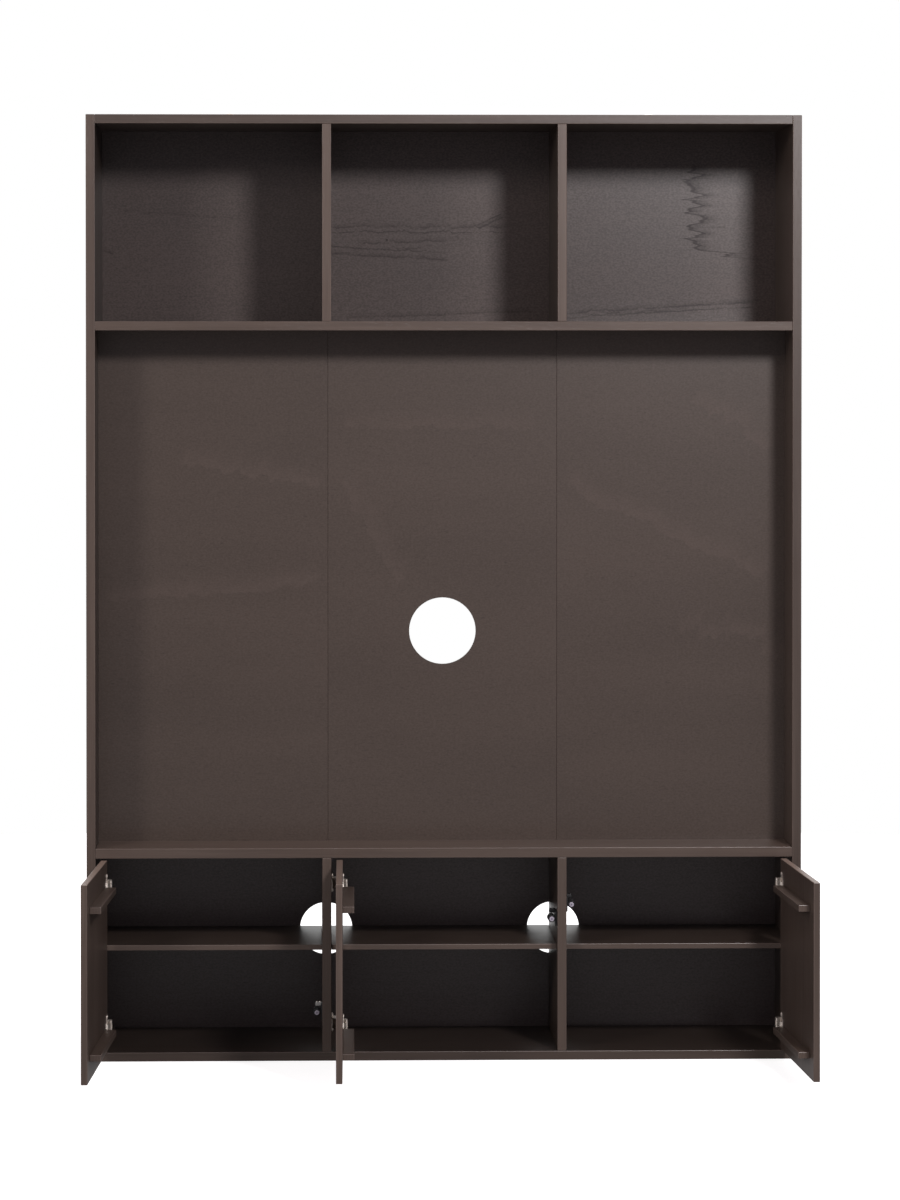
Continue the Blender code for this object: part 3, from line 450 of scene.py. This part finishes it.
# The lower shades are bluer than the veneer's: painted reflected light on the shaded back of the lower
# cells.
LOWER_DARK = (0.0480, 0.0330, 0.0310)
LOWER_LIGHT = (0.0790, 0.0560, 0.0530)
VENEER_PALE = (0.1300, 0.0950, 0.0820)
VENEER_ROUGHNESS = 0.60
VENEER_SPECULAR = 0.10
LACQUER_GLOSS_ROUGHNESS = 0.33
LACQUER_IOR = 1.59
LACQUER_FILM = 0.85
LACQUER_MOTTLE = 0.65
LACQUER_GAP = 0.55
VENEER_UNEVEN = 0.07
VENEER_WORN_SWINGS = (5.0, 9.0, 5.0)
VENEER_RELIEF = 0.0005
VENEER_RELIEF_STRENGTH = 0.6
GRAIN_RELIEF_SHARE = 0.4
GRAIN_SWINGS = (200.0, 280.0, 200.0)
CLOUD_SWINGS = (1.5, 6.0, 1.0)
STREAK_SWINGS = (4.0, 160.0, 4.0)
VENEER_PORE_SWINGS = (60.0, 420.0, 60.0)
VENEER_PORE_RANGE = (0.64, 0.76)
VENEER_PORE_SHARE = 0.35
CLOUD_SHARE = 0.3
SHADE_SPREAD = 0.19
LINE_WIDTH = 0.0036
LINE_SWAY_SWINGS = (7.0, 0.0, 0.0)
LINE_PACE = 4.0
LINE_PACE_SWINGS = (38.0, 0.0, 0.0)
LINE_REACH_SWINGS = (24.0, 0.0, 0.0)
LINE_REACH_RANGE = (0.35, 0.65)
LINE_GAP_SWINGS = (26.0, 40.0, 0.0)
LINE_GAP_RANGE = (0.47, 0.55)
LINE_CORE_SHARE = 0.2
LINE_END_SHARE = 0.88
LINE_SHADE_SHARE = 0.6
LINE_SEED_STEP = 2.3
TOOTH_LEAST_SHARE = 0.2
FINE_TOOTH_SHARE = 0.28
FINE_TOOTH_RATE = 2.7
TWIN_THINNESS = 1.4
HOOK_START_SHARE = 0.72


def veneer_line_group():
    """U runs along the line and V across it. At each U the line lies at a V that adds up a slow sway,
    a saw of two zigzags whose pace wanders, and a hook that carries its far end aside. The line is
    dark close to that V, has a thinner twin beside it, and is broken where a noise is high; its shade
    fades out on the far side. Only the face towards the front, where W is over zero, shows it."""
    tree, given, wanted = group(
        "Veneer line",
        [("Vector", "Vector", (0, 0, 0)), ("Length", "Float", 0.3), ("Width", "Float", LINE_WIDTH),
         ("Fade", "Float", 0.012), ("Sway", "Float", 0.006), ("Tooth", "Float", 0.006),
         ("Rate", "Float", 30.0), ("Hook", "Float", 0.0), ("Breaks", "Float", 0.0),
         ("Twin", "Float", 0.0), ("Seed", "Float", 0.0)],
        [("Line", "Float"), ("Shade", "Float")],
    )
    seed = given["Seed"]
    u, v, through = split(tree, given["Vector"])
    run = node(tree, "CombineXYZ", {"X": u}).outputs[0]
    slow = calc(tree, "MULTIPLY_ADD", noise(tree, run, LINE_SWAY_SWINGS, seed=seed), 2.0, -1.0)
    pace = noise(tree, run, LINE_PACE_SWINGS, detail=1.0, seed=seed)
    steps = calc(tree, "MULTIPLY_ADD", u, given["Rate"], calc(tree, "MULTIPLY", pace, LINE_PACE))
    broad = calc(tree, "PINGPONG", steps, 1.0)
    sharp = calc(tree, "PINGPONG", calc(tree, "MULTIPLY", steps, FINE_TOOTH_RATE), 1.0)
    reach = noise(tree, run, LINE_REACH_SWINGS, detail=1.0, seed=seed)
    reach = calc(tree, "ADD", ramp(tree, reach, *LINE_REACH_RANGE), TOOTH_LEAST_SHARE)
    saw = calc(tree, "MULTIPLY_ADD", sharp, FINE_TOOTH_SHARE, calc(tree, "MULTIPLY", broad, reach))
    half = calc(tree, "MULTIPLY", given["Length"], 0.5)
    far = calc(tree, "DIVIDE", u, half)
    hook = calc(tree, "MULTIPLY", given["Hook"], ramp(tree, far, HOOK_START_SHARE, 1.0))
    teeth = calc(tree, "MULTIPLY_ADD", saw, given["Tooth"], hook)
    place = calc(tree, "MULTIPLY_ADD", slow, given["Sway"], teeth)
    field = calc(tree, "SUBTRACT", v, place)
    ends = ramp(tree, calc(tree, "ABSOLUTE", far), LINE_END_SHARE, 1.0, 1.0, 0.0)
    gaps = noise(tree, given["Vector"], LINE_GAP_SWINGS, detail=1.0, seed=seed)
    gaps = calc(tree, "MULTIPLY", ramp(tree, gaps, *LINE_GAP_RANGE), given["Breaks"])
    kept = calc(tree, "MULTIPLY", ends, calc(tree, "SUBTRACT", 1.0, gaps))
    kept = calc(tree, "MULTIPLY", kept, calc(tree, "GREATER_THAN", through, 0.0))
    other = calc(tree, "ABSOLUTE", calc(tree, "SUBTRACT", field, given["Twin"]))
    other = calc(tree, "MULTIPLY", other, TWIN_THINNESS)
    nearer = calc(tree, "MINIMUM", calc(tree, "ABSOLUTE", field), other)
    near = calc(tree, "DIVIDE", nearer, given["Width"])
    line = calc(tree, "MULTIPLY", kept, ramp(tree, near, LINE_CORE_SHARE, 1.0, 1.0, 0.0))
    tree.links.new(line, wanted["Line"])
    past = ramp(tree, calc(tree, "DIVIDE", field, given["Fade"]), 0.0, 1.0, 1.0, 0.0)
    inside = calc(tree, "MULTIPLY", past, calc(tree, "GREATER_THAN", field, 0.0))
    tree.links.new(calc(tree, "MULTIPLY", kept, inside), wanted["Shade"])
    return tree


VENEER_LINE = veneer_line_group()


def mark(strength, x, z, degrees=0.0, **values):
    """A line of the figure: how strongly it shows, where its middle lies on the cabinet, how far it is
    turned from the grain, and what its group takes."""
    sockets = {key.title(): value for key, value in values.items()}
    return {"strength": strength, "x": x, "z": z, "turn": radians(degrees), "sockets": sockets}


def veneer_line(tree, vector, centre, seed, x, z, turn, sockets):
    """Places one line of the figure on a panel; returns its line and its shade."""
    home = {"Vector": vector, "Location": (x - centre.x, z - centre.z, 0.0), "Rotation": (0.0, 0.0, turn)}
    local = node(tree, "Mapping", home, vector_type="TEXTURE").outputs[0]
    made = node(tree, "Group", node_tree=VENEER_LINE)
    tree.links.new(local, made.inputs["Vector"])
    for label, value in {"Seed": seed, **sockets}.items():
        made.inputs[label].default_value = value
    return made.outputs["Line"], made.outputs["Shade"]


def veneer(name, seed, dark=(), pale=(), mottle=0.9, streaks=0.15, tone=1.0,
           shades=(VENEER_DARK, VENEER_LIGHT)):
    """Veneer for one back panel between its two shades, with its dark lines and its pale sweeps. The
    lacquer that the grain leaves uneven is a coat, and it is thin over the figure."""
    centre, turn, _ = board_frame(name, RIGHT, UP)
    material, tree, surface = new_material("stained_back_" + name)
    vector = board_vector(tree, centre, turn)
    grains = noise(tree, vector, GRAIN_SWINGS, detail=3.0, seed=seed)
    cloud = noise(tree, vector, CLOUD_SWINGS, detail=3.0, seed=seed)
    streak = noise(tree, vector, STREAK_SWINGS, detail=3.0, seed=seed)
    share = calc(tree, "MULTIPLY_ADD", grains, mottle, calc(tree, "MULTIPLY", cloud, CLOUD_SHARE))
    share = calc(tree, "MULTIPLY_ADD", streak, streaks, share)
    middle = (mottle + CLOUD_SHARE + streaks) / 2
    share = ramp(tree, share, middle - SHADE_SPREAD, middle + SHADE_SPREAD)
    wood = mixed(tree, share, toned(shades[0], tone), toned(shades[1], tone))
    pores = noise(tree, vector, VENEER_PORE_SWINGS, detail=1.0, seed=seed)
    pores = calc(tree, "MULTIPLY", ramp(tree, pores, *VENEER_PORE_RANGE), VENEER_PORE_SHARE)
    wood = mixed(tree, pores, wood, toned(VENEER_MARKS, tone))
    dull = 0.0
    for marks, colour in ((dark, VENEER_MARKS), (pale, VENEER_PALE)):
        for number, values in enumerate(marks):
            values = dict(values)
            strength = values.pop("strength")
            line, whole = veneer_line(tree, vector, centre, seed + LINE_SEED_STEP * number, **values)
            if marks is dark:
                whole = calc(tree, "MAXIMUM", line, calc(tree, "MULTIPLY", whole, LINE_SHADE_SHARE))
            whole = calc(tree, "MULTIPLY", whole, strength)
            wood = mixed(tree, whole, wood, toned(colour, tone))
            dull = calc(tree, "MAXIMUM", dull, whole)
    tree.links.new(wood, surface.inputs["Base Color"])
    worn = noise(tree, vector, VENEER_WORN_SWINGS, detail=3.0, seed=seed)
    gloss = calc(tree, "MULTIPLY_ADD", worn, 2 * VENEER_UNEVEN, VENEER_ROUGHNESS - VENEER_UNEVEN)
    tree.links.new(gloss, surface.inputs["Roughness"])
    reach = LACQUER_MOTTLE * mottle
    film = calc(tree, "MULTIPLY_ADD", grains, reach, LACQUER_FILM - reach / 2, clamp=True)
    film = calc(tree, "MULTIPLY", film, calc(tree, "MULTIPLY_ADD", dull, -LACQUER_GAP, 1.0))
    tree.links.new(film, surface.inputs["Coat Weight"])
    surface.inputs["Coat Roughness"].default_value = LACQUER_GLOSS_ROUGHNESS
    surface.inputs["Coat IOR"].default_value = LACQUER_IOR
    surface.inputs["Specular IOR Level"].default_value = VENEER_SPECULAR
    relief = calc(tree, "MULTIPLY", grains, GRAIN_RELIEF_SHARE)
    sockets = {"Strength": VENEER_RELIEF_STRENGTH, "Distance": VENEER_RELIEF, "Height": relief}
    tree.links.new(node(tree, "Bump", sockets).outputs[0], surface.inputs["Normal"])
    put(name, material)


# Painted light and shade: the upper backs' tones are set panel by panel to the light in each compartment,
# rising from left to right with the right-hand lamp's sheen.
veneer("upper_back_left", 41.0, tone=0.73, dark=[
    mark(0.22, -0.600, 1.889, -3.5, length=0.27, tooth=0.003, breaks=0.6),
    mark(0.40, -0.760, 1.803, -20, length=0.024, tooth=0.004),
])
veneer("upper_back_centre", 42.0, mottle=1.0, tone=0.86, dark=[
    mark(0.50, -0.050, 1.859, length=0.42, tooth=0.007, rate=22.0, breaks=0.45, twin=-0.012),
    mark(0.50, 0.118, 1.870, 24, length=0.065, tooth=0.002, twin=0.008),
    mark(0.50, -0.120, 1.792, -3, length=0.29, rate=26.0, breaks=0.5, twin=0.016),
    mark(0.45, -0.070, 1.826, 2, length=0.25, rate=34.0, breaks=0.6, twin=-0.014),
    mark(0.35, 0.000, 1.660, 2, length=0.44, tooth=0.002, breaks=0.3),
    mark(0.80, -0.121, 1.832, length=0.005, tooth=0.0, sway=0.0, fade=0.001),
], pale=[
    mark(0.30, -0.092, 1.933, length=0.075, tooth=0.002, width=0.002, fade=0.003),
])
veneer("upper_back_right", 43.0, mottle=1.0, tone=0.88, dark=[
    mark(0.80, 0.560, 1.896, -90, length=0.225, tooth=0.055, rate=60.0, sway=0.022, hook=0.120,
         width=0.010, fade=0.045),
    mark(0.30, 0.625, 1.862, length=0.070, tooth=0.002, fade=0.004),
    mark(0.55, 0.505, 1.676, 3.7, length=0.45, tooth=0.004, rate=20.0, breaks=0.4, twin=-0.011),
    mark(0.50, 0.460, 1.664, 2, length=0.24, tooth=0.005, breaks=0.6),
    mark(0.25, 0.690, 1.690, 6, length=0.10, tooth=0.002),
])
SWEEP = {"fade": 0.055, "breaks": 0.3}
# The niche's warmer shades paint the warm light in it, and its tone is set to that light.
NICHE = {"mottle": 0.5, "streaks": 0.03, "tone": 0.93, "shades": (NICHE_DARK, NICHE_LIGHT)}
veneer("niche_back_left", 51.0, **NICHE, pale=[
    mark(0.22, -0.433, 1.286, -10, length=0.34, sway=0.02, tooth=0.02, **SWEEP),
    mark(0.22, -0.512, 1.027, 8, length=0.50, sway=0.03, tooth=0.01, **SWEEP),
])
veneer("niche_back_centre", 52.0, **NICHE, pale=[
    mark(0.17, -0.005, 1.399, length=0.46, sway=0.02, tooth=0.01, **SWEEP),
    mark(0.17, -0.174, 1.162, -60, length=0.28, sway=0.02, tooth=0.02, **SWEEP),
])
veneer("niche_back_right", 53.0, **NICHE, pale=[
    mark(0.25, 0.500, 1.162, -23, length=0.52, sway=0.05, tooth=0.01, **SWEEP),
    mark(0.22, 0.641, 1.394, -35, length=0.22, sway=0.02, tooth=0.03, **SWEEP),
    mark(0.22, 0.648, 0.903, -15, length=0.26, sway=0.02, tooth=0.04, **SWEEP),
])
# The lower back's bluer shades and raised tone paint the reflected light in the shaded lower cells.
veneer("lower_back", 61.0, mottle=0.6, tone=1.2, shades=(LOWER_DARK, LOWER_LIGHT))
for seed, name in enumerate(("niche_stile_left", "niche_stile_right"), 65):
    pine(name, UP, RIGHT, seed)

# The doors: three inset 14 mm boards that stand open, each with two battens screwed across its
# inside. The grain of the doors stands up, that of the battens lies along them.

DOORS = (("left", 1), ("centre", 1), ("right", -1))
DOOR_TONE = 1.3
DOOR_EDGE = {"left": 1.15, "centre": 1.32, "right": 1.15}
# The door ends are drawn far lighter than the stain: partly end grain, partly a painted highlight on the
# top ends that face the lamps.
DOOR_END = {"left": 3.1, "centre": 2.3, "right": 3.1}
DOOR_RINGS = 0.8
DOOR_SPREAD = 0.12
BATTEN_TONE = 1.2


def joint_low(name):
    """The lower limit of a joint, in degrees."""
    return next(joint for joint in frame["joints"] if joint["name"] == name)["range_deg"][0]


for seed, (name, side) in enumerate(DOORS, 71):
    opened = radians(joint_low("hinge_links_" + name) - joint_low("door_swing_" + name))
    across = (side * np.cos(opened), -np.sin(opened), 0.0)
    pine("door_" + name, UP, across, seed, tone=DOOR_TONE, edge=DOOR_EDGE[name], end=DOOR_END[name],
         rings=DOOR_RINGS, spread=DOOR_SPREAD)
    for row, level in enumerate(("upper", "lower")):
        pine(f"batten_{name}_{level}", across, UP, seed + 10 + 5 * row, tone=BATTEN_TONE)

# The hinges: pressed steel cup hinges in fine nickel plate. Each cup's flange and each arm's plate is
# held by two cross-recessed screws, and two more on the arm's back set the door's depth and side.

NICKEL_PALE = (0.98, 0.91, 0.83)
NICKEL_DULL = (0.86, 0.79, 0.71)
NICKEL_ROUGHNESS = 0.44
NICKEL_UNEVEN = 0.14
NICKEL_SWINGS = (120.0, 120.0, 120.0)
NICKEL_CLOUD_RANGE = (0.35, 0.65)
SCRATCH_RELIEF = 0.00003
SCRATCH_STRENGTH = 0.4
SCRATCH_SWINGS = (300.0, 300.0, 5200.0)
SCREW_ROUGHNESS_SHARE = 0.8
FLANGE_RADIUS = 0.019
FLANGE_SCREWS = {"radius": 0.0040, "spread": 0.024, "seat": 0.0010}
PLATE_SCREWS = {"radius": 0.0039, "spread": 0.016, "seat": 0.0024, "back": 0.021}
ARM_SCREWS = {"radius": 0.0033, "seat": 0.01415, "backs": (0.012, 0.027)}
HEAD_HEIGHT = 0.0019
RECESS_DEPTH = 0.00062
SLOT_REACH_SHARE = 0.56
SLOT_HALF_SHARE = 0.13
SLOT_WALL_SHARE = 0.07
HEAD_RINGS = 12
HEAD_SPOKES = 40
HEAD_TURN = 0.7
HEAD_TURN_BELOW = 1.0
HEAD_EYE_SHARE = 0.08
ARM_TURN_LENGTH = 0.01


def capped(rings, start, end):
    """Points and outward faces of a closed surface: rings that run from one pole to the other."""
    rows, spokes = rings.shape[:2]
    points = np.vstack([rings.reshape(-1, 3), start, end])
    here = np.arange(spokes)
    after = (here + 1) % spokes
    first = rows * spokes
    last = (rows - 1) * spokes
    start_fan = np.stack([np.full(spokes, first), here, after], axis=-1)
    end_fan = np.stack([np.full(spokes, first + 1), last + after, last + here], axis=-1)
    return points, [*grid_faces(rows, spokes, closed=True)[:, ::-1], *start_fan, *end_fan]


def facing(outward, turn):
    """Rows are two directions square to the outward one, turned about it, and the outward one itself."""
    first = np.cross(BACK if abs(outward[2]) > 0.5 else UP, outward)
    second = np.cross(outward, first)
    return np.stack([
        np.cos(turn) * first + np.sin(turn) * second,
        np.cos(turn) * second - np.sin(turn) * first,
        outward,
    ])


def screw_head(place, outward, radius, turn):
    """Over the share s of its radius a dome h (1 - s^2 / 4 - 9 s^8 / 20), sunk where the smaller of |x|
    and |y| is inside the slot's half width and the larger inside its reach, then a skirt to its seat."""
    share = np.append(np.linspace(HEAD_EYE_SHARE, 1.0, HEAD_RINGS), 1.0)[:, None]
    angle = np.linspace(0.0, 2 * pi, HEAD_SPOKES, endpoint=False)[None, :]
    x, y = share * np.cos(angle), share * np.sin(angle)
    near, far = np.minimum(abs(x), abs(y)), np.maximum(abs(x), abs(y))
    wall = np.clip((SLOT_HALF_SHARE - near) / SLOT_WALL_SHARE + 1, 0, 1)
    end = np.clip((SLOT_REACH_SHARE - far) / SLOT_WALL_SHARE + 1, 0, 1)
    z = HEAD_HEIGHT * (1 - share ** 2 / 4 - 9 * share ** 8 / 20) - RECESS_DEPTH * wall * end
    z[-1] = 0.0
    axes = facing(np.array(outward, float), turn)
    rings = np.stack([radius * x, radius * y, z], axis=-1) @ axes + place
    middle = np.array((0.0, 0.0, HEAD_HEIGHT - RECESS_DEPTH)) @ axes + place
    return capped(rings, middle, np.array(place, float))


def fitting(name, body, material, shapes):
    """One smooth piece out of several closed shapes, each with its points and faces."""
    points, faces, start = [], [], 0
    for some_points, some_faces in shapes:
        points.append(some_points)
        faces += [np.asarray(face) + start for face in some_faces]
        start += len(some_points)
    made = mesh_object(name, np.vstack(points), faces, smooth=True)
    made.data.materials.append(material)
    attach(made, body)


def plated(name, roughness):
    """Nickel plate: cloudy where it is handled, with fine rubbing marks that run level."""
    material, tree, surface = new_material(name)
    place = node(tree, "TexCoord").outputs["Object"]
    cloud = noise(tree, place, NICKEL_SWINGS, detail=3.0)
    marks = noise(tree, place, SCRATCH_SWINGS)
    share = ramp(tree, cloud, *NICKEL_CLOUD_RANGE)
    tree.links.new(mixed(tree, share, toned(NICKEL_DULL), toned(NICKEL_PALE)), surface.inputs["Base Color"])
    gloss = calc(tree, "MULTIPLY_ADD", cloud, NICKEL_UNEVEN, roughness)
    tree.links.new(gloss, surface.inputs["Roughness"])
    surface.inputs["Metallic"].default_value = 1.0
    sockets = {"Strength": SCRATCH_STRENGTH, "Distance": SCRATCH_RELIEF, "Height": marks}
    tree.links.new(node(tree, "Bump", sockets).outputs[0], surface.inputs["Normal"])
    return material


NICKEL = plated("nickel_plate_pressed", NICKEL_ROUGHNESS)
SCREW_PLATE = plated("nickel_plate_screws", SCREW_ROUGHNESS_SHARE * NICKEL_ROUGHNESS)
for number, (name, side) in enumerate(DOORS):
    opened = radians(joint_low("hinge_links_" + name) - joint_low("door_swing_" + name))
    across = np.array((side * np.cos(opened), -np.sin(opened), 0.0))
    inward = np.array((side * np.sin(opened), np.cos(opened), 0.0))
    door_screws, arm_screws = [], []
    for level in ("upper", "lower"):
        for kind in ("cup", "link", "arm"):
            put(f"hinge_{kind}_{name}_{level}", NICKEL)
        points = np.array([vertex.co for vertex in nodes[f"hinge_cup_{name}_{level}"].data.vertices])
        reach = (points @ across).max() - FLANGE_RADIUS
        seat = (points @ inward).max() - FLANGE_SCREWS["seat"]
        middle = (points[:, 2].max() + points[:, 2].min()) / 2
        low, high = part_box(f"hinge_arm_{name}_{level}")
        foot = low[0] if side > 0 else high[0]
        for way in (1, -1):
            turn = HEAD_TURN * (len(arm_screws) + 5 * number)
            place = reach * across + seat * inward + (0.0, 0.0, middle + way * FLANGE_SCREWS["spread"])
            door_screws.append(screw_head(place, inward, FLANGE_SCREWS["radius"], turn))
            place = (foot + side * PLATE_SCREWS["seat"], high[1] - PLATE_SCREWS["back"],
                     middle + way * PLATE_SCREWS["spread"])
            below = turn + HEAD_TURN_BELOW
            arm_screws.append(screw_head(place, (side, 0, 0), PLATE_SCREWS["radius"], below))
        for back in ARM_SCREWS["backs"]:
            place = (foot + side * ARM_SCREWS["seat"], high[1] - back, middle)
            arm_screws.append(screw_head(place, (side, 0, 0), ARM_SCREWS["radius"], back / ARM_TURN_LENGTH))
    fitting("flange_screws_" + name, "door_" + name, SCREW_PLATE, door_screws)
    fitting("arm_screws_" + name, "carcass", SCREW_PLATE, arm_screws)

# The push latches: a black moulded barrel with a collar at each end, held on the divider by a foot
# and a saddle with two screws. Its grey plunger ends in a soft ring that meets the closed door. On
# the left latch the saddle is drawn pale grey and its screws plated: painted light on black parts.

LATCH_BLACK = (0.012, 0.012, 0.013)
# The pale grey below is the left latch's black saddle drawn as if lit: painted light.
LATCH_PAINTED_LIT = (0.36, 0.36, 0.35)
PLUNGER_RING = (0.42, 0.39, 0.46)
PLUNGER_EYE = (0.17, 0.155, 0.20)
BLACK_ROUGHNESS = 0.36
PAINTED_LIT_ROUGHNESS = 0.35
PLUNGER_ROUGHNESS = 0.30
MOULD_UNEVEN = 0.16
MOULD_TONES = (0.8, 1.2)
MOULD_CLOUD_SWINGS = (140.0, 140.0, 140.0)
MOULD_GRAIN_SWINGS = (2600.0, 2600.0, 2600.0)
MOULD_RELIEF = 0.00005
MOULD_RELIEF_STRENGTH = 0.5
EYE_RADIUS = 0.0015
EYE_RIM = 0.0027
COLLARS = (
    {"radius": 0.0076, "thick": 0.0006, "back": 0.0098, "long": 0.0020},
    {"radius": 0.0078, "thick": 0.0010, "back": 0.0420, "long": 0.0030},
)
TIP_RING = {"radius": 0.0039, "thick": 0.0005, "back": 0.0001, "long": 0.00035}
SADDLE_HALF = (0.0074, 0.0055, 0.0046)
SADDLE_OUT = 0.0082
SADDLE_BACK = 0.0500
SADDLE_RISE = 0.0135
SADDLE_SCREWS_OUT = (0.0052, 0.0122)
SADDLE_SCREW_RADIUS = 0.0024
SADDLE_SCREW_SEAT_SHARE = 0.97
SADDLE_SCREW_TURN = 40
SADDLE_RINGS = 16
SADDLE_SPOKES = 40
SADDLE_BLUNTNESS = 0.35
LATCH_AXIS_OUT = 0.012
RING_STEPS = 16
RING_SPOKES = 48
RING_BLUNTNESS = 0.6


def blunt(wave, power):
    """A sine or cosine drawn towards a square wave: its sign times its size to a power under 1."""
    return np.sign(wave) * abs(wave) ** power


def axis_ring(axis, front, radius, thick, back, long):
    """A ring about a level axis: its section is a superellipse, thick by long, taken round a circle."""
    step = np.linspace(0.0, 2 * pi, RING_STEPS, endpoint=False)[:, None]
    angle = np.linspace(0.0, 2 * pi, RING_SPOKES, endpoint=False)[None, :]
    out = radius + thick * blunt(np.cos(step), RING_BLUNTNESS)
    along = front + back + long * blunt(np.sin(step), RING_BLUNTNESS) + 0 * angle
    points = np.stack([axis[0] + out * np.cos(angle), along, axis[1] + out * np.sin(angle)], axis=-1)
    row, column = np.mgrid[:RING_STEPS, :RING_SPOKES]
    below, beside = (row + 1) % RING_STEPS, (column + 1) % RING_SPOKES
    corners = [row * RING_SPOKES + column, below * RING_SPOKES + column,
               below * RING_SPOKES + beside, row * RING_SPOKES + beside]
    return points.reshape(-1, 3), np.stack(corners, axis=-1).reshape(-1, 4)


def rounded_block(centre, half):
    """A superellipsoid: powers of cos v cos u, cos v sin u and sin v times the half sizes."""
    v = np.linspace(pi / 2, -pi / 2, SADDLE_RINGS)[1:-1, None]
    u = np.linspace(0.0, 2 * pi, SADDLE_SPOKES, endpoint=False)[None, :]
    out = blunt(np.cos(v), SADDLE_BLUNTNESS)
    shell = np.stack([
        out * blunt(np.cos(u), SADDLE_BLUNTNESS),
        out * blunt(np.sin(u), SADDLE_BLUNTNESS),
        blunt(np.sin(v), SADDLE_BLUNTNESS) + 0 * u,
    ], axis=-1)
    tip = np.array((0.0, 0.0, half[2]))
    return capped(shell * half + centre, centre + tip, centre - tip)


def moulded(name, colour, roughness):
    """Moulded plastic with the fine spark-cut texture of its tool, a little glossier where rubbed."""
    material, tree, surface = new_material(name)
    place = node(tree, "TexCoord").outputs["Object"]
    grain = noise(tree, place, MOULD_GRAIN_SWINGS)
    cloud = noise(tree, place, MOULD_CLOUD_SWINGS)
    tone = mixed(tree, cloud, *(toned(colour, tone) for tone in MOULD_TONES))
    tree.links.new(tone, surface.inputs["Base Color"])
    gloss = calc(tree, "MULTIPLY_ADD", cloud, MOULD_UNEVEN, roughness)
    tree.links.new(gloss, surface.inputs["Roughness"])
    sockets = {"Strength": MOULD_RELIEF_STRENGTH, "Distance": MOULD_RELIEF, "Height": grain}
    tree.links.new(node(tree, "Bump", sockets).outputs[0], surface.inputs["Normal"])
    return material, tree, tone, surface


BLACK = moulded("black_plastic_moulded", LATCH_BLACK, BLACK_ROUGHNESS)[0]
PAINTED_LIT_BLACK = moulded("black_plastic_painted_lit", LATCH_PAINTED_LIT, PAINTED_LIT_ROUGHNESS)[0]
for name, side in (("left", -1), ("centre", -1), ("right", 1)):
    put("latch_housing_" + name, BLACK)
    low, high = (np.array(corner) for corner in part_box("latch_plunger_" + name))
    axis = ((low[0] + high[0]) / 2, (low[2] + high[2]) / 2)
    front = low[1]
    face = axis[0] - side * LATCH_AXIS_OUT
    collars = [axis_ring(axis, front, **collar) for collar in COLLARS]
    fitting("latch_collars_" + name, "carcass", BLACK, collars)
    middle = np.array((face + side * SADDLE_OUT, front + SADDLE_BACK, axis[1] + SADDLE_RISE))
    # The left latch's saddle is drawn pale grey and its screws plated where the others are black: painted
    # light from the lamp that falls on that latch.
    pale = name == "left"
    fitting("latch_saddle_" + name, "carcass",
            PAINTED_LIT_BLACK if pale else BLACK, [rounded_block(middle, np.array(SADDLE_HALF))])
    top = middle[2] + SADDLE_SCREW_SEAT_SHARE * SADDLE_HALF[2]
    heads = []
    for out in SADDLE_SCREWS_OUT:
        place = (face + side * out, middle[1], top)
        heads.append(screw_head(place, UP, SADDLE_SCREW_RADIUS, SADDLE_SCREW_TURN * out))
    fitting("saddle_screws_" + name, "carcass",
            SCREW_PLATE if pale else BLACK, heads)
    grey, tree, tone, surface = moulded("grey_plastic_plunger_" + name, PLUNGER_RING, PLUNGER_ROUGHNESS)
    centre, turn, _ = board_frame("latch_plunger_" + name, BACK, UP)
    _, level, aside = split(tree, board_vector(tree, centre, turn))
    squares = calc(tree, "MULTIPLY_ADD", level, level, calc(tree, "MULTIPLY", aside, aside))
    eye = ramp(tree, calc(tree, "SQRT", squares), EYE_RADIUS, EYE_RIM, 1.0, 0.0)
    tree.links.new(mixed(tree, eye, tone, toned(PLUNGER_EYE)), surface.inputs["Base Color"])
    put("latch_plunger_" + name, grey)
    tip = [axis_ring(axis, front, **TIP_RING)]
    fitting("plunger_ring_" + name, "plunger_" + name, grey, tip)

# The wall brackets: bent steel angles on the rear top edge, plated like the hinges and held by a
# round-headed screw in each leg.

BRACKET_SCREW_RADIUS = 0.0042
BRACKET_THICKNESS = 0.002
BRACKET_HOLE_IN = 0.008
BRACKET_TURN_TOP = 0.4
BRACKET_TURN_WALL = 1.1
FRONT = (0, -1, 0)

for name in ("left", "right"):
    put("wall_bracket_" + name, NICKEL)
    low, high = (np.array(corner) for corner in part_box("wall_bracket_" + name))
    across = (low[0] + high[0]) / 2
    on_top = (across, low[1] + BRACKET_HOLE_IN, low[2] + BRACKET_THICKNESS)
    on_wall = (across, high[1] - BRACKET_THICKNESS, high[2] - BRACKET_HOLE_IN)
    heads = [screw_head(on_top, UP, BRACKET_SCREW_RADIUS, BRACKET_TURN_TOP),
             screw_head(on_wall, FRONT, BRACKET_SCREW_RADIUS, BRACKET_TURN_WALL)]
    fitting("bracket_screws_" + name, "carcass", SCREW_PLATE, heads)
